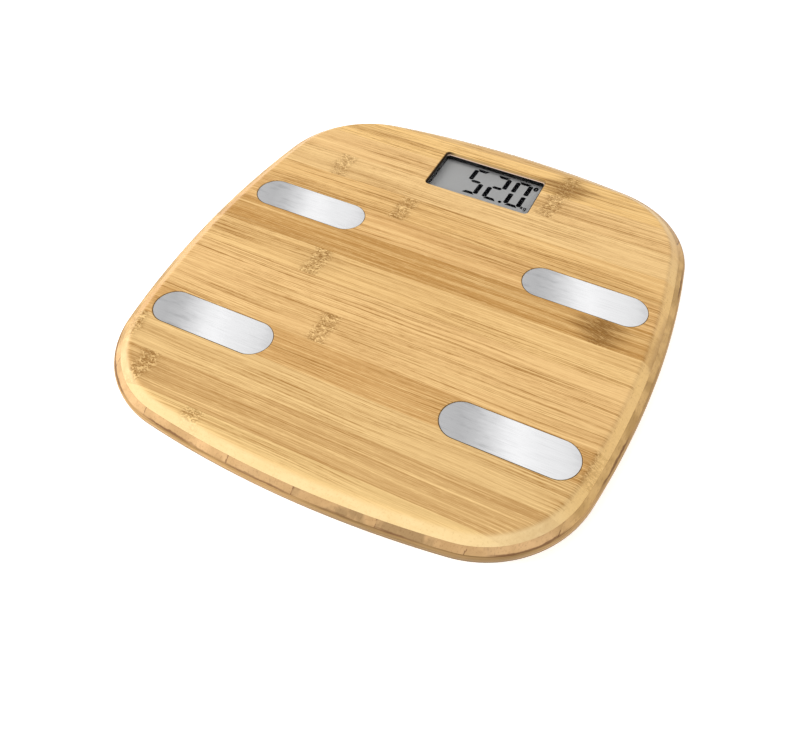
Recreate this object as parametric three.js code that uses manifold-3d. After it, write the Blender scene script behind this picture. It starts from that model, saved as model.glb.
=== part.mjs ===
// Body-analysis bathroom scale: a three-layer bamboo platform on four load-cell feet.
// Millimetres, +Z up, +X to the right, +Y to the display end, origin on the floor under the middle.
import * as THREE from "three";
import { mergeVertices } from "three/addons/utils/BufferGeometryUtils.js";
import Module from "manifold-3d";

const wasm = await Module();
wasm.setup();

// Platform
const half = 150; // half of its width and of its depth
const sideRadiusX = 545; // bow of the left and right sides
const sideRadiusY = 610; // bow of the front and rear sides
const cornerRadius = 65;
const topZ = 22;
const boardThickness = 12;
const topPlyThickness = 4.3;
const corePlyThickness = 2.5;
const chamferWidth = 11;
const chamferDrop = 7.6;
const lowerChamfer = 1;
const boardZ = topZ - boardThickness; // underside of the platform
const coreTopZ = topZ - topPlyThickness;
const coreZ = coreTopZ - corePlyThickness;

// Foot electrodes
const electrodeLength = 77.4;
const electrodeWidth = 23.8;
const electrodeThickness = 1.1;
const electrodeSink = 0.1; // top face below the platform's face
const electrodeGap = 0.35;
const electrodeX = { front: 91.5, rear: 94 };
const electrodeY = { front: -76.5, rear: 34.5 };
const electrodeFloorZ = topZ - electrodeSink - electrodeThickness;
const studX = 64;
const studRadius = 1;
const studHoleRadius = 1.5;
const studEndZ = 12.2;

// Display
const displayY = 105.6;
const windowWidth = 74;
const windowDepth = 37.6;
const windowRadius = 2.8;
const fitGap = 0.3;
const bezelWall = 0.8;
const bezelSink = 2;
const bezelFlangeThickness = 1;
const bezelFlange = 4; // reach under the top ply
const lensThickness = 1;
const lensGap = 0.2;
const panelWidth = 76;
const panelDepth = 40;
const panelTopZ = 16.6;
const panelThickness = 2.2;
const holderRim = { x: 4, y: 2 }; // reach beside the panel
const holderLedge = { x: 3, y: 3.3 }; // reach under the panel
const zebraWidth = 66;
const zebraDepth = 2;
const zebraInset = 1.4; // from the panel's front edge

// Electronics bay, its cover and the circuit board
const bayWidth = 124;
const bayDepth = 58;
const bayRadius = 8;
const tubWidth = 120;
const tubDepth = 54;
const tubRadius = 7;
const tubWall = 1.5;
const tubZ = 4.5;
const tubFloorZ = tubZ + tubWall;
const flangeWidth = 140;
const flangeDepth = 74;
const flangeThickness = 1.2;
const pcbZ = 11.4;
const pcbThickness = 1.2;
const pcbTopZ = pcbZ + pcbThickness;
const pcbWidth = 102;
const pcbDepth = 46;
const pcbX = 4;
const boardPostX = [-40, 48];
const boardPostY = 18; // from the middle of the cover
const boardPostRadius = 2.5;
const chip = { x: 22, radius: 7, height: 1.4 };
const capacitor = { x: -52.5, y: 12.8, length: 21, radius: 4.6, lift: 0.4 };

// Charging socket
const notchHalfWidth = 8; // room for the plug
const notchDepth = 1.6;
const portY = displayY + tubDepth / 2 - 0.2; // mouth of the charging socket
const portZ = 7.8;
const portWidth = 9;
const portHeight = 3.2;
const portWall = 0.35;
const portLength = 7.4;
const portBack = 0.8;
const portHoleGap = 0.4;
const tongueWidth = 6.6;
const tongueLength = 5.6;
const tongueHeight = 0.7;
const chargePcbZ = 9.4;
const chargePcbSize = { width: 18, depth: 11, height: 1 };
const chargePostX = 7.2;
const chargePostRadius = 1.4;

// Unit button
const buttonX = -30;
const buttonY = 100;
const buttonRadius = 3.5;
const buttonTravel = 0.8;
const buttonLip = { reach: 1.5, height: 0.8 };
const buttonStemRadius = 1.5;
const buttonProud = 0.6; // below the cover
const buttonHoleGap = 0.4;
const switchHeight = 2.5;
const switchSize = 6;

// Feet
const footX = 103;
const footY = 103;
const bracketRadius = 23;
const bracketWall = 2;
const lipRadius = 17.5;
const lipThickness = 1.2;
const roofRadius = 12;
const roofThickness = 1;
const screwReach = 28; // from the foot's axis to its screws
const earWidth = 10;
const footTravel = 0.8;
const cellSize = 28;
const cellThickness = 1.2;
const cellSlot = 1.6;
const cellTongueReach = 8;
const cellBridgeX = 4.6; // slot that narrows the tongue's root
const cellBridge = { width: 2, depth: 8 };
const cellZ = coreZ - roofThickness - cellThickness;
const capRadius = 16.8;
const capFlangeRadius = 20.2;
const capFlangeThickness = 1;
const capCrownThickness = 2.5;
const capHollowRadius = 13;
const bossRadius = 4;
const capBevel = 0.6;
const padThickness = 2.2;
const padInset = 0.4;
const padBevel = { reach: 1, height: 0.8 };
const roundSegments = 24;

// Screws and wires
const screwHeadRadius = 2.8;
const screwHeadHeight = 1.8;
const screwRadius = 1.4;
const pilotRadius = 1.7;
const coverScrewX = 65.5;
const coverScrewY = 33; // from the middle of the cover
const grooveDepth = 4.2;
const grooveHalfWidth = 4;
const mainGrooveX = 38;
const branchHalfWidth = 1.6;
const wireZ = 13.4;
const electrodeWireRadius = 0.6;
const cellWireRadius = 0.7;
const laneOffset = 2.2; // of each lead from the middle of its groove
const screwHeadEdge = 0.8; // height of the dome

const root = new THREE.Group();

function toSolid(geometry) {
  const bare = geometry.index ? geometry.toNonIndexed() : geometry.clone();
  bare.deleteAttribute("normal");
  bare.deleteAttribute("uv");
  const merged = mergeVertices(bare, 1e-4);
  const vertProperties = new Float32Array(merged.attributes.position.array);
  const triVerts = new Uint32Array(merged.index.array);
  return new wasm.Manifold(new wasm.Mesh({ numProp: 3, vertProperties, triVerts }));
}

function toGeometry(solid) {
  const mesh = solid.getMesh();
  const geometry = new THREE.BufferGeometry();
  geometry.setAttribute("position", new THREE.BufferAttribute(mesh.vertProperties, 3));
  geometry.setIndex(new THREE.BufferAttribute(mesh.triVerts, 1));
  geometry.computeVertexNormals();
  return geometry;
}

function addMesh(name, solid, color, roughness, metalness) {
  const material = new THREE.MeshStandardMaterial({ color, roughness, metalness });
  const mesh = new THREE.Mesh(toGeometry(solid), material);
  mesh.name = name;
  root.add(mesh);
}

const join = (...solids) => solids.reduce((sum, solid) => sum.add(solid));
const cut = (blank, ...tools) => tools.reduce((rest, tool) => rest.subtract(tool), blank);

// Box from its middle in X and Y and its lowest and highest Z
function block(x, y, width, depth, z0, z1) {
  const geometry = new THREE.BoxGeometry(width, depth, z1 - z0);
  return toSolid(geometry.translate(x, y, (z0 + z1) / 2));
}

function disc(x, y, radius, z0, z1, segments = roundSegments) {
  const geometry = new THREE.CylinderGeometry(radius, radius, z1 - z0, segments).rotateX(Math.PI / 2);
  return toSolid(geometry.translate(x, y, (z0 + z1) / 2));
}

function roundedRectangle(width, depth, radius) {
  const x = width / 2 - radius;
  const y = depth / 2 - radius;
  const quarter = Math.PI / 2;
  const shape = new THREE.Shape();
  shape.absarc(x, -y, radius, -quarter, 0);
  shape.absarc(x, y, radius, 0, quarter);
  shape.absarc(-x, y, radius, quarter, 2 * quarter);
  shape.absarc(-x, -y, radius, 2 * quarter, 3 * quarter);
  return shape;
}

function plate(x, y, width, depth, radius, z0, z1, curveSegments = 2) {
  const options = { depth: z1 - z0, bevelEnabled: false, curveSegments };
  const geometry = new THREE.ExtrudeGeometry(roundedRectangle(width, depth, radius), options);
  return toSolid(geometry.translate(x, y, z0));
}

// Solid of revolution about Z from [radius, z] points that start and end on the axis
function turned(points, x, y, segments = roundSegments) {
  const profile = points.map(([radius, z]) => new THREE.Vector2(radius, z));
  const geometry = new THREE.LatheGeometry(profile, segments).rotateX(Math.PI / 2);
  return toSolid(geometry.translate(x, y, 0));
}

// Wire of a round section in straight runs, with a rounded knuckle at each corner
function wire(points, radius) {
  const corners = points.map((point) => new THREE.Vector3(...point));
  const pieces = [];
  for (let i = 1; i < corners.length; i += 1) {
    const run = corners[i].clone().sub(corners[i - 1]);
    const rod = new THREE.CylinderGeometry(radius, radius, run.length(), 8);
    const ahead = run.clone().normalize();
    const turn = new THREE.Quaternion().setFromUnitVectors(THREE.Object3D.DEFAULT_UP, ahead);
    const middle = corners[i].clone().add(corners[i - 1]).multiplyScalar(0.5);
    pieces.push(toSolid(rod.applyQuaternion(turn).translate(...middle)));
  }
  for (const corner of corners.slice(1, -1)) {
    pieces.push(toSolid(new THREE.IcosahedronGeometry(1.05 * radius).translate(...corner)));
  }
  return join(...pieces);
}

const sides = [
  { side: "left", sx: -1 },
  { side: "right", sx: 1 },
];
const ends = [
  { end: "front", sy: -1 },
  { end: "rear", sy: 1 },
];
const corners = ends.flatMap(({ end, sy }) => sides.map(({ side, sx }) => (
  { end, side, sx, sy, name: `${end}_${side}` }
)));

// Bowed square: four shallow side arcs and four corner arcs, all tangent
function platformOutline() {
  const sideX = half - sideRadiusX; // centre of the right side's arc
  const sideY = half - sideRadiusY; // centre of the rear side's arc
  const reachX = sideRadiusX - cornerRadius;
  const reachY = sideRadiusY - cornerRadius;
  const apart = Math.hypot(sideX, sideY);
  const along = (apart ** 2 + reachX ** 2 - reachY ** 2) / (2 * apart);
  const across = Math.sqrt(reachX ** 2 - along ** 2);
  const ux = -sideX / apart;
  const uy = sideY / apart;
  const cx = sideX + ux * along - uy * across; // centre of the rear right corner's arc
  const cy = uy * along + ux * across;
  const first = Math.atan2(cy, cx - sideX);
  const second = Math.atan2(cy - sideY, cx);
  const shape = new THREE.Shape();
  shape.absarc(sideX, 0, sideRadiusX, -first, first);
  shape.absarc(cx, cy, cornerRadius, first, second);
  shape.absarc(0, sideY, sideRadiusY, second, Math.PI - second);
  shape.absarc(-cx, cy, cornerRadius, Math.PI - second, Math.PI - first);
  shape.absarc(-sideX, 0, sideRadiusX, Math.PI - first, Math.PI + first);
  shape.absarc(-cx, -cy, cornerRadius, Math.PI + first, Math.PI + second);
  shape.absarc(0, -sideY, sideRadiusY, Math.PI + second, 2 * Math.PI - second);
  shape.absarc(cx, -cy, cornerRadius, 2 * Math.PI - second, 2 * Math.PI - first);
  return shape;
}

// Platform outline with the same chamfer above and below, its straight wall from z0 to z1
function chamferedBlank(width, drop, z0, z1) {
  const options = {
    depth: z1 - z0,
    curveSegments: 4,
    bevelSegments: 1,
    bevelThickness: drop,
    bevelSize: width,
    bevelOffset: -width,
  };
  return toSolid(new THREE.ExtrudeGeometry(platformOutline(), options).translate(0, 0, z0));
}

const platformBlank = chamferedBlank(chamferWidth, chamferDrop, boardZ - 1, topZ - chamferDrop)
  .intersect(chamferedBlank(lowerChamfer, lowerChamfer, boardZ + lowerChamfer, topZ + 1));

function ply(z0, z1) {
  return platformBlank.intersect(block(0, 0, 2.2 * half, 2.2 * half, z0, z1));
}

const studHoles = corners.map(({ end, sx }) => (
  disc(sx * studX, electrodeY[end], studHoleRadius, boardZ - 1, topZ + 1, 8)
));
const bayCut = plate(0, displayY, bayWidth, bayDepth, bayRadius, boardZ - 1, coreTopZ);

function topPly() {
  const display = plate(0, displayY, windowWidth, windowDepth, windowRadius, coreTopZ - 1, topZ + 1);
  const pockets = corners.map(({ end, sx }) => plate(
    sx * electrodeX[end], electrodeY[end],
    electrodeLength + 2 * electrodeGap, electrodeWidth + 2 * electrodeGap,
    electrodeWidth / 2 + electrodeGap, electrodeFloorZ, topZ + 1, 4,
  ));
  return cut(ply(coreTopZ, topZ), display, ...pockets, ...studHoles);
}

function bottomPly() {
  const grooveTopZ = boardZ + grooveDepth;
  const cuts = [bayCut, ...studHoles];
  for (const { end, sx, sy } of corners) {
    cuts.push(disc(sx * footX, sy * footY, bracketRadius + fitGap, boardZ - 1, coreZ + 1));
    for (const turn of [-1, 1]) {
      cuts.push(disc(sx * footX, sy * footY + turn * screwReach, pilotRadius, boardZ - 1, coreZ + 1, 8));
    }
    const branch = studX + 2 - mainGrooveX;
    cuts.push(block(
      sx * (mainGrooveX + branch / 2), electrodeY[end], branch, 2 * branchHalfWidth, boardZ - 1, grooveTopZ,
    ));
  }
  for (const { sx } of sides) {
    const frontY = -footY - branchHalfWidth;
    const bayY = displayY - bayDepth / 2 + 1;
    cuts.push(block(
      sx * mainGrooveX, (frontY + bayY) / 2, 2 * grooveHalfWidth, bayY - frontY, boardZ - 1, grooveTopZ,
    ));
    const pocketX = footX - bracketRadius + 1;
    cuts.push(block(
      sx * (pocketX + mainGrooveX) / 2, -footY, pocketX - mainGrooveX, 2 * branchHalfWidth, boardZ - 1,
      grooveTopZ,
    ));
    const bayX = bayWidth / 2 - 1;
    cuts.push(block(
      sx * (pocketX + bayX) / 2, footY, pocketX - bayX, 2 * branchHalfWidth, boardZ - 1, grooveTopZ,
    ));
    for (const sy of [-1, 1]) {
      const y = displayY + sy * coverScrewY;
      cuts.push(disc(sx * coverScrewX, y, pilotRadius, boardZ - 1, coreZ + 1, 8));
    }
  }
  const notchY = displayY + bayDepth / 2 - 1;
  cuts.push(block(0, (notchY + half) / 2 + 1, 2 * notchHalfWidth, half - notchY + 2, boardZ - 1,
    boardZ + notchDepth));
  return cut(ply(boardZ, coreZ), ...cuts);
}

function platform() {
  addMesh("top_ply", topPly(), 0xdcb478, 0.55, 0);
  addMesh("core_ply", cut(ply(coreZ, coreTopZ), bayCut, ...studHoles), 0xc9a07a, 0.65, 0);
  addMesh("bottom_ply", bottomPly(), 0xcfa67a, 0.65, 0);
}

function electrodes() {
  for (const { end, sx, name } of corners) {
    const y = electrodeY[end];
    const face = plate(sx * electrodeX[end], y, electrodeLength, electrodeWidth, electrodeWidth / 2,
      electrodeFloorZ, electrodeFloorZ + electrodeThickness, 4);
    const stud = disc(sx * studX, y, studRadius, studEndZ, electrodeFloorZ + electrodeThickness / 2, 8);
    addMesh(`electrode_${name}`, join(face, stud), 0xd8d8d8, 0.3, 1);
  }
}

function display() {
  const innerWidth = windowWidth - 2 * (fitGap + bezelWall);
  const innerDepth = windowDepth - 2 * (fitGap + bezelWall);
  const bezelZ = coreTopZ - bezelFlangeThickness;
  const bezel = cut(
    join(
      plate(0, displayY, windowWidth - 2 * fitGap, windowDepth - 2 * fitGap, windowRadius - fitGap,
        bezelZ, topZ - bezelSink),
      plate(0, displayY, windowWidth + 2 * bezelFlange, windowDepth + 2 * bezelFlange, windowRadius,
        bezelZ, coreTopZ),
    ),
    plate(0, displayY, innerWidth, innerDepth, windowRadius - fitGap - bezelWall, bezelZ - 1, topZ),
  );
  addMesh("display_bezel", bezel, 0x101010, 0.5, 0);

  const lensZ = panelTopZ + fitGap;
  addMesh("display_lens", plate(0, displayY, innerWidth - 2 * lensGap, innerDepth - 2 * lensGap,
    windowRadius - fitGap - bezelWall, lensZ, lensZ + lensThickness), 0xe8f0f0, 0.05, 0);

  const panelZ = panelTopZ - panelThickness;
  addMesh("lcd_panel", block(0, displayY, panelWidth, panelDepth, panelZ, panelTopZ), 0x969696, 0.3, 0);

  const zebraY = displayY - panelDepth / 2 + zebraInset;
  const holder = cut(
    block(0, displayY, panelWidth + 2 * holderRim.x, panelDepth + 2 * holderRim.y, pcbTopZ,
      panelTopZ - lensGap),
    block(0, displayY, panelWidth + 2 * fitGap, panelDepth + 2 * fitGap, panelZ, topZ),
    block(0, displayY, panelWidth - 2 * holderLedge.x, panelDepth - 2 * holderLedge.y, pcbTopZ - 1, topZ),
    block(0, zebraY, zebraWidth + 2, zebraDepth + 0.8, pcbTopZ - 1, topZ),
  );
  addMesh("lcd_holder", holder, 0xf2f2ee, 0.5, 0);
  addMesh("zebra_strip", block(0, zebraY, zebraWidth, zebraDepth, pcbTopZ, panelZ - 0.1), 0x4a4a50, 0.8, 0);
}

function electronics() {
  addMesh("main_pcb", block(pcbX, displayY, pcbWidth, pcbDepth, pcbZ, pcbTopZ), 0x1f6b3a, 0.45, 0);
  addMesh("controller_chip", disc(chip.x, displayY, chip.radius, pcbZ - chip.height, pcbZ, 16), 0x0c0c0c,
    0.35, 0);

  const can = new THREE.CylinderGeometry(capacitor.radius, capacitor.radius, capacitor.length, 16);
  can.translate(capacitor.x, displayY + capacitor.y, pcbZ - capacitor.lift);
  addMesh("supercapacitor", toSolid(can), 0x1d3a6e, 0.35, 0);

  addMesh("unit_switch", block(buttonX, buttonY, switchSize, switchSize, pcbZ - switchHeight, pcbZ),
    0x202022, 0.4, 0);
  const faceZ = tubZ - buttonProud;
  const lipZ = tubFloorZ + fitGap;
  const lipTopZ = lipZ + buttonLip.height;
  const lipRadius = buttonRadius + buttonLip.reach;
  const stemTopZ = pcbZ - switchHeight - fitGap - buttonTravel;
  addMesh("unit_button", turned([
    [0, faceZ], [buttonRadius, faceZ], [buttonRadius, lipZ], [lipRadius, lipZ], [lipRadius, lipTopZ],
    [buttonStemRadius, lipTopZ], [buttonStemRadius, stemTopZ], [0, stemTopZ],
  ], buttonX, buttonY, 16), 0x8c8f92, 0.5, 0);
}

// Stadium shell with a back wall and a tongue, mouth to the rear
function chargingSocket() {
  const backY = portY - portLength;
  const tube = (width, height, y) => {
    const options = { depth: portLength, bevelEnabled: false, curveSegments: 3 };
    const geometry = new THREE.ExtrudeGeometry(roundedRectangle(width, height, height / 2), options);
    return toSolid(geometry.rotateX(-Math.PI / 2).translate(0, y, portZ));
  };
  const shell = cut(
    tube(portWidth, portHeight, backY),
    tube(portWidth - 2 * portWall, portHeight - 2 * portWall, backY + portBack),
  );
  const tongueY = backY + portBack - 0.2; // its root reaches into the back wall
  const tongue = block(0, tongueY + tongueLength / 2, tongueWidth, tongueLength,
    portZ - tongueHeight / 2, portZ + tongueHeight / 2);
  addMesh("usb_port", join(shell, tongue), 0xb8bbbe, 0.3, 1);
  addMesh("charging_pcb", block(0, backY, chargePcbSize.width, chargePcbSize.depth, chargePcbZ,
    chargePcbZ + chargePcbSize.height), 0x1f6b3a, 0.45, 0);
}

function cover() {
  const inside = plate(0, displayY, tubWidth - 2 * tubWall, tubDepth - 2 * tubWall, tubRadius - tubWall,
    tubFloorZ, boardZ + 1);
  const shell = cut(
    join(
      plate(0, displayY, tubWidth, tubDepth, tubRadius, tubZ, boardZ),
      plate(0, displayY, flangeWidth, flangeDepth, bayRadius, boardZ - flangeThickness, boardZ),
    ),
    inside,
  );
  const posts = [];
  const postZ = tubFloorZ - 0.5;
  for (const { sy } of ends) {
    for (const x of boardPostX) {
      posts.push(disc(x, displayY + sy * boardPostY, boardPostRadius, postZ, pcbZ, 10));
    }
  }
  for (const { sx } of sides) {
    posts.push(disc(sx * chargePostX, portY - chargePcbSize.depth, chargePostRadius, postZ, chargePcbZ, 8));
  }
  const rearWallY = displayY + tubDepth / 2;
  const cuts = [
    disc(buttonX, buttonY, buttonRadius + buttonHoleGap, tubZ - 1, tubFloorZ + 1, 16),
    block(0, rearWallY - tubWall / 2, portWidth + 2 * portHoleGap, 2 * tubWall,
      portZ - portHeight / 2 - portHoleGap, portZ + portHeight / 2),
    block(0, rearWallY + flangeDepth / 2, 2 * notchHalfWidth, flangeDepth, tubZ, boardZ + 1),
  ];
  for (const { sx } of sides) {
    for (const sy of [-1, 1]) {
      const x = sx * coverScrewX;
      const y = displayY + sy * coverScrewY;
      cuts.push(disc(x, y, pilotRadius, boardZ - 2, boardZ + 1, 8));
      addScrew(`cover_screw_${sy < 0 ? "front" : "rear"}_${sx < 0 ? "left" : "right"}`, x, y,
        boardZ - flangeThickness);
    }
  }
  addMesh("electronics_cover", cut(join(shell, ...posts), ...cuts), 0xe9e9e4, 0.5, 0);
}

// Pan-head wood screw, driven upwards, its head's seat at seatZ
function addScrew(name, x, y, seatZ) {
  const headZ = seatZ - screwHeadHeight;
  addMesh(name, turned([
    [0, headZ], [0.6 * screwHeadRadius, headZ], [screwHeadRadius, headZ + screwHeadEdge],
    [screwHeadRadius, seatZ],
    [screwRadius, seatZ], [screwRadius, coreZ - 1.4], [0, coreZ - 0.2],
  ], x, y, 12), 0xb9b9b5, 0.35, 1);
}

// Round housing with a retaining lip, a roof ring for the load cell and two screw ears
function bracket(x, y, sx) {
  const earRadius = earWidth / 2;
  const ears = plate(x, y, earWidth, 2 * (screwReach + earRadius), earRadius, boardZ - lipThickness,
    boardZ, 3);
  const body = disc(x, y, bracketRadius, boardZ - lipThickness, coreZ);
  const wireSlotX = x - sx * (bracketRadius - bracketWall / 2);
  return cut(
    join(body, ears),
    disc(x, y, lipRadius, boardZ - 2, boardZ + 1),
    disc(x, y, bracketRadius - bracketWall, boardZ, coreZ - roofThickness),
    disc(x, y, roofRadius, coreZ - 2, coreZ + 1),
    block(wireSlotX, y, bracketWall + 2, 2, wireZ - 0.9, coreZ - roofThickness),
    disc(x, y - screwReach, pilotRadius, boardZ - 2, boardZ + 1, 8),
    disc(x, y + screwReach, pilotRadius, boardZ - 2, boardZ + 1, 8),
  );
}

// Square steel plate with a U-shaped slot that frees its middle tongue
function loadCell(x, y, sx) {
  const reach = cellTongueReach;
  const z0 = cellZ - 1;
  const z1 = cellZ + cellThickness + 1;
  return cut(
    plate(x, y, cellSize, cellSize, 2, cellZ, cellZ + cellThickness),
    block(x - sx * reach, y, cellSlot, 2 * reach + cellSlot, z0, z1),
    block(x, y - reach, 2 * reach, cellSlot, z0, z1),
    block(x, y + reach, 2 * reach, cellSlot, z0, z1),
    block(x + sx * cellBridgeX, y, cellBridge.width, cellBridge.depth, z0, z1),
  );
}

function feet() {
  for (const { name, sx, sy } of corners) {
    const x = sx * footX;
    const y = sy * footY;
    addMesh(`foot_bracket_${name}`, bracket(x, y, sx), 0xe9e9e4, 0.5, 0);
    addMesh(`load_cell_${name}`, loadCell(x, y, sx), 0xa9abab, 0.35, 1);
    for (const [place, turn] of [["inner", -sy], ["outer", sy]]) {
      addScrew(`foot_screw_${name}_${place}`, x, y + turn * screwReach, boardZ - lipThickness);
    }
    const flangeZ = boardZ + fitGap;
    const capTopZ = flangeZ + capFlangeThickness;
    const crownZ = capTopZ - capCrownThickness;
    const bossTopZ = cellZ - fitGap - footTravel;
    addMesh(`foot_cap_${name}`, turned([
      [0, crownZ], [capHollowRadius, crownZ], [capHollowRadius, padThickness],
      [capRadius - capBevel, padThickness], [capRadius, padThickness + capBevel], [capRadius, flangeZ],
      [capFlangeRadius, flangeZ], [capFlangeRadius, capTopZ], [bossRadius, capTopZ], [bossRadius, bossTopZ],
      [0, bossTopZ],
    ], x, y), 0xe4e4df, 0.5, 0);
    const padRadius = capRadius - padInset;
    addMesh(`foot_pad_${name}`, turned([
      [0, 0], [padRadius - padBevel.reach, 0], [padRadius, padBevel.height], [padRadius, padThickness],
      [0, padThickness],
    ], x, y), 0x3a3a3c, 0.85, 0);
  }
}

function wires() {
  const solderY = displayY - pcbDepth / 2 + 0.4;
  for (const { end, side, sx, name } of corners) {
    const laneX = sx * (end === "front" ? mainGrooveX : mainGrooveX + laneOffset);
    addMesh(`electrode_wire_${name}`, wire([
      [sx * (studX - studRadius - fitGap), electrodeY[end], wireZ], [laneX, electrodeY[end], wireZ],
      [laneX, solderY, wireZ],
    ], electrodeWireRadius), side === "left" ? 0x2f6fb0 : 0xd9d9d9, 0.6, 0);
    const cellX = footX - cellSize / 2 - fitGap;
    const endX = sx < 0 ? pcbX - pcbWidth / 2 + 2 : pcbX + pcbWidth / 2 - 2;
    const points = end === "rear"
      ? [[sx * cellX, footY, wireZ], [endX, footY, wireZ]]
      : [[sx * cellX, -footY, wireZ], [sx * (mainGrooveX - laneOffset), -footY, wireZ],
        [sx * (mainGrooveX - laneOffset), solderY, wireZ]];
    addMesh(`load_cell_wire_${name}`, wire(points, cellWireRadius), 0xb03028, 0.6, 0);
  }
}

platform();
electrodes();
display();
electronics();
chargingSocket();
cover();
feet();
wires();

export default root;
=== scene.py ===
import math

import bmesh
import bpy
import numpy as np
from mathutils import Matrix, Vector
from mathutils.geometry import tessellate_polygon


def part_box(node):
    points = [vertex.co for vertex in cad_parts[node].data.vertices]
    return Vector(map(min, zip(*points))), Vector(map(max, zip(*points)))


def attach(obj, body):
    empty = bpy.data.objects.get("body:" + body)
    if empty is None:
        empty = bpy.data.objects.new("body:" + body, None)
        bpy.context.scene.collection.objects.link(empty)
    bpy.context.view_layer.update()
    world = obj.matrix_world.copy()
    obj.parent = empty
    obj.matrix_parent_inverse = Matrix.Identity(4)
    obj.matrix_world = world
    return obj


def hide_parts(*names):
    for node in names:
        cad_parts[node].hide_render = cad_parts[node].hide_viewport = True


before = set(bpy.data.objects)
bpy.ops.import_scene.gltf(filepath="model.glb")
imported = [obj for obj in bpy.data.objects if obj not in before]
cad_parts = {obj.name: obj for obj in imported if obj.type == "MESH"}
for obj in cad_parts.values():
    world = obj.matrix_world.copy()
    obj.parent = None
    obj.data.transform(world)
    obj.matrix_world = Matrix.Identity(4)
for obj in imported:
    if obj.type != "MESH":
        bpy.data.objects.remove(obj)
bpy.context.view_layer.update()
mm = 0.001
corners = [(f"{end}_{side}", end, side, sx, sy)
           for end, sy in (("front", -1), ("rear", 1)) for side, sx in (("left", -1), ("right", 1))]
print("frame loaded:", len(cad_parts), "nodes")


def boxOf(node):
    low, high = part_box(node)
    return np.array(low) / mm, np.array(high) / mm


def middleOf(node):
    low, high = boxOf(node)
    return (low + high) / 2


# levels of the three layers of the board
half = boxOf("bottom_ply")[1][0]
topZ = boxOf("top_ply")[1][2]
coreZ, coreTopZ = boxOf("core_ply")[0][2], boxOf("core_ply")[1][2]
boardZ = boxOf("bottom_ply")[0][2]
displayY = middleOf("display_lens")[1]
display = {
    "window": (74.0, 37.6, 2.8),
    "rim": 0.55,
    "bezelGap": 0.3,
    "bezelWall": 0.8,
    "bezelTop": boxOf("display_bezel")[1][2],
    "flange": 4.0,
    "flangeBottom": boxOf("display_bezel")[0][2],
}


class Outline:
    # A closed plan curve of arcs (x, y, radius, first angle, last angle, steps).
    # Point = centre + (radius + offset) * normal, so every offset runs parallel to the curve;
    # a hollow arc has a negative radius.
    def __init__(self, arcs):
        turns = [np.linspace(first, last, steps + 1) for _, _, _, first, last, steps in arcs]
        turn = np.concatenate(turns)
        lengths = [len(t) for t in turns]
        self.centres = np.repeat([arc[:2] for arc in arcs], lengths, axis=0)
        self.radii = np.repeat([arc[2] for arc in arcs], lengths)
        self.normals = np.column_stack([np.cos(turn), np.sin(turn)])
        plan = self.ring(0, 0)
        apart = np.linalg.norm(plan - np.roll(plan, -1, axis=0), axis=1) > 1e-6
        self.centres, self.radii = self.centres[apart], self.radii[apart]
        self.normals = self.normals[apart]

    def ring(self, offset, z):
        plan = self.centres + (self.radii + offset)[:, None] * self.normals
        return np.column_stack([plan, np.broadcast_to(z, len(plan))])

    def rings(self, profile):
        return [self.ring(offset, z) for offset, z in profile]


def circle(x, y, radius, steps=64):
    return Outline([(x, y, radius, 0, math.tau, steps)])


def roundedBox(x, y, width, depth, radius, steps=8):
    quarter = math.pi / 2
    places = [(1, -1, -1), (1, 1, 0), (-1, 1, 1), (-1, -1, 2)]
    return Outline([(x + sx * (width / 2 - radius), y + sy * (depth / 2 - radius), radius,
                     turn * quarter, (turn + 1) * quarter, steps) for sx, sy, turn in places])


def rounded(path, closed=False, steps=5):
    # Polyline of (u, v, radius) corners: each corner becomes an arc tangent to both of its sides
    points = [np.array(corner[:2], float) for corner in path]
    runs = []
    for i, (_, _, radius) in enumerate(path):
        if radius == 0 or (not closed and i in (0, len(path) - 1)):
            runs.append(points[i][None])
            continue
        back = points[i - 1] - points[i]
        ahead = points[(i + 1) % len(path)] - points[i]
        back, ahead = back / np.linalg.norm(back), ahead / np.linalg.norm(ahead)
        angle = math.acos(np.clip(back @ ahead, -1, 1)) / 2
        toCentre = (back + ahead) / np.linalg.norm(back + ahead) * radius / math.sin(angle)
        start = back * radius / math.tan(angle) - toCentre
        end = ahead * radius / math.tan(angle) - toCentre
        first = math.atan2(start[1], start[0])
        sweep = (math.atan2(end[1], end[0]) - first + math.pi) % math.tau - math.pi
        turn = first + sweep * np.linspace(0, 1, steps + 1)
        runs.append(points[i] + toCentre + radius * np.column_stack([np.cos(turn), np.sin(turn)]))
    return np.concatenate(runs)


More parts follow.
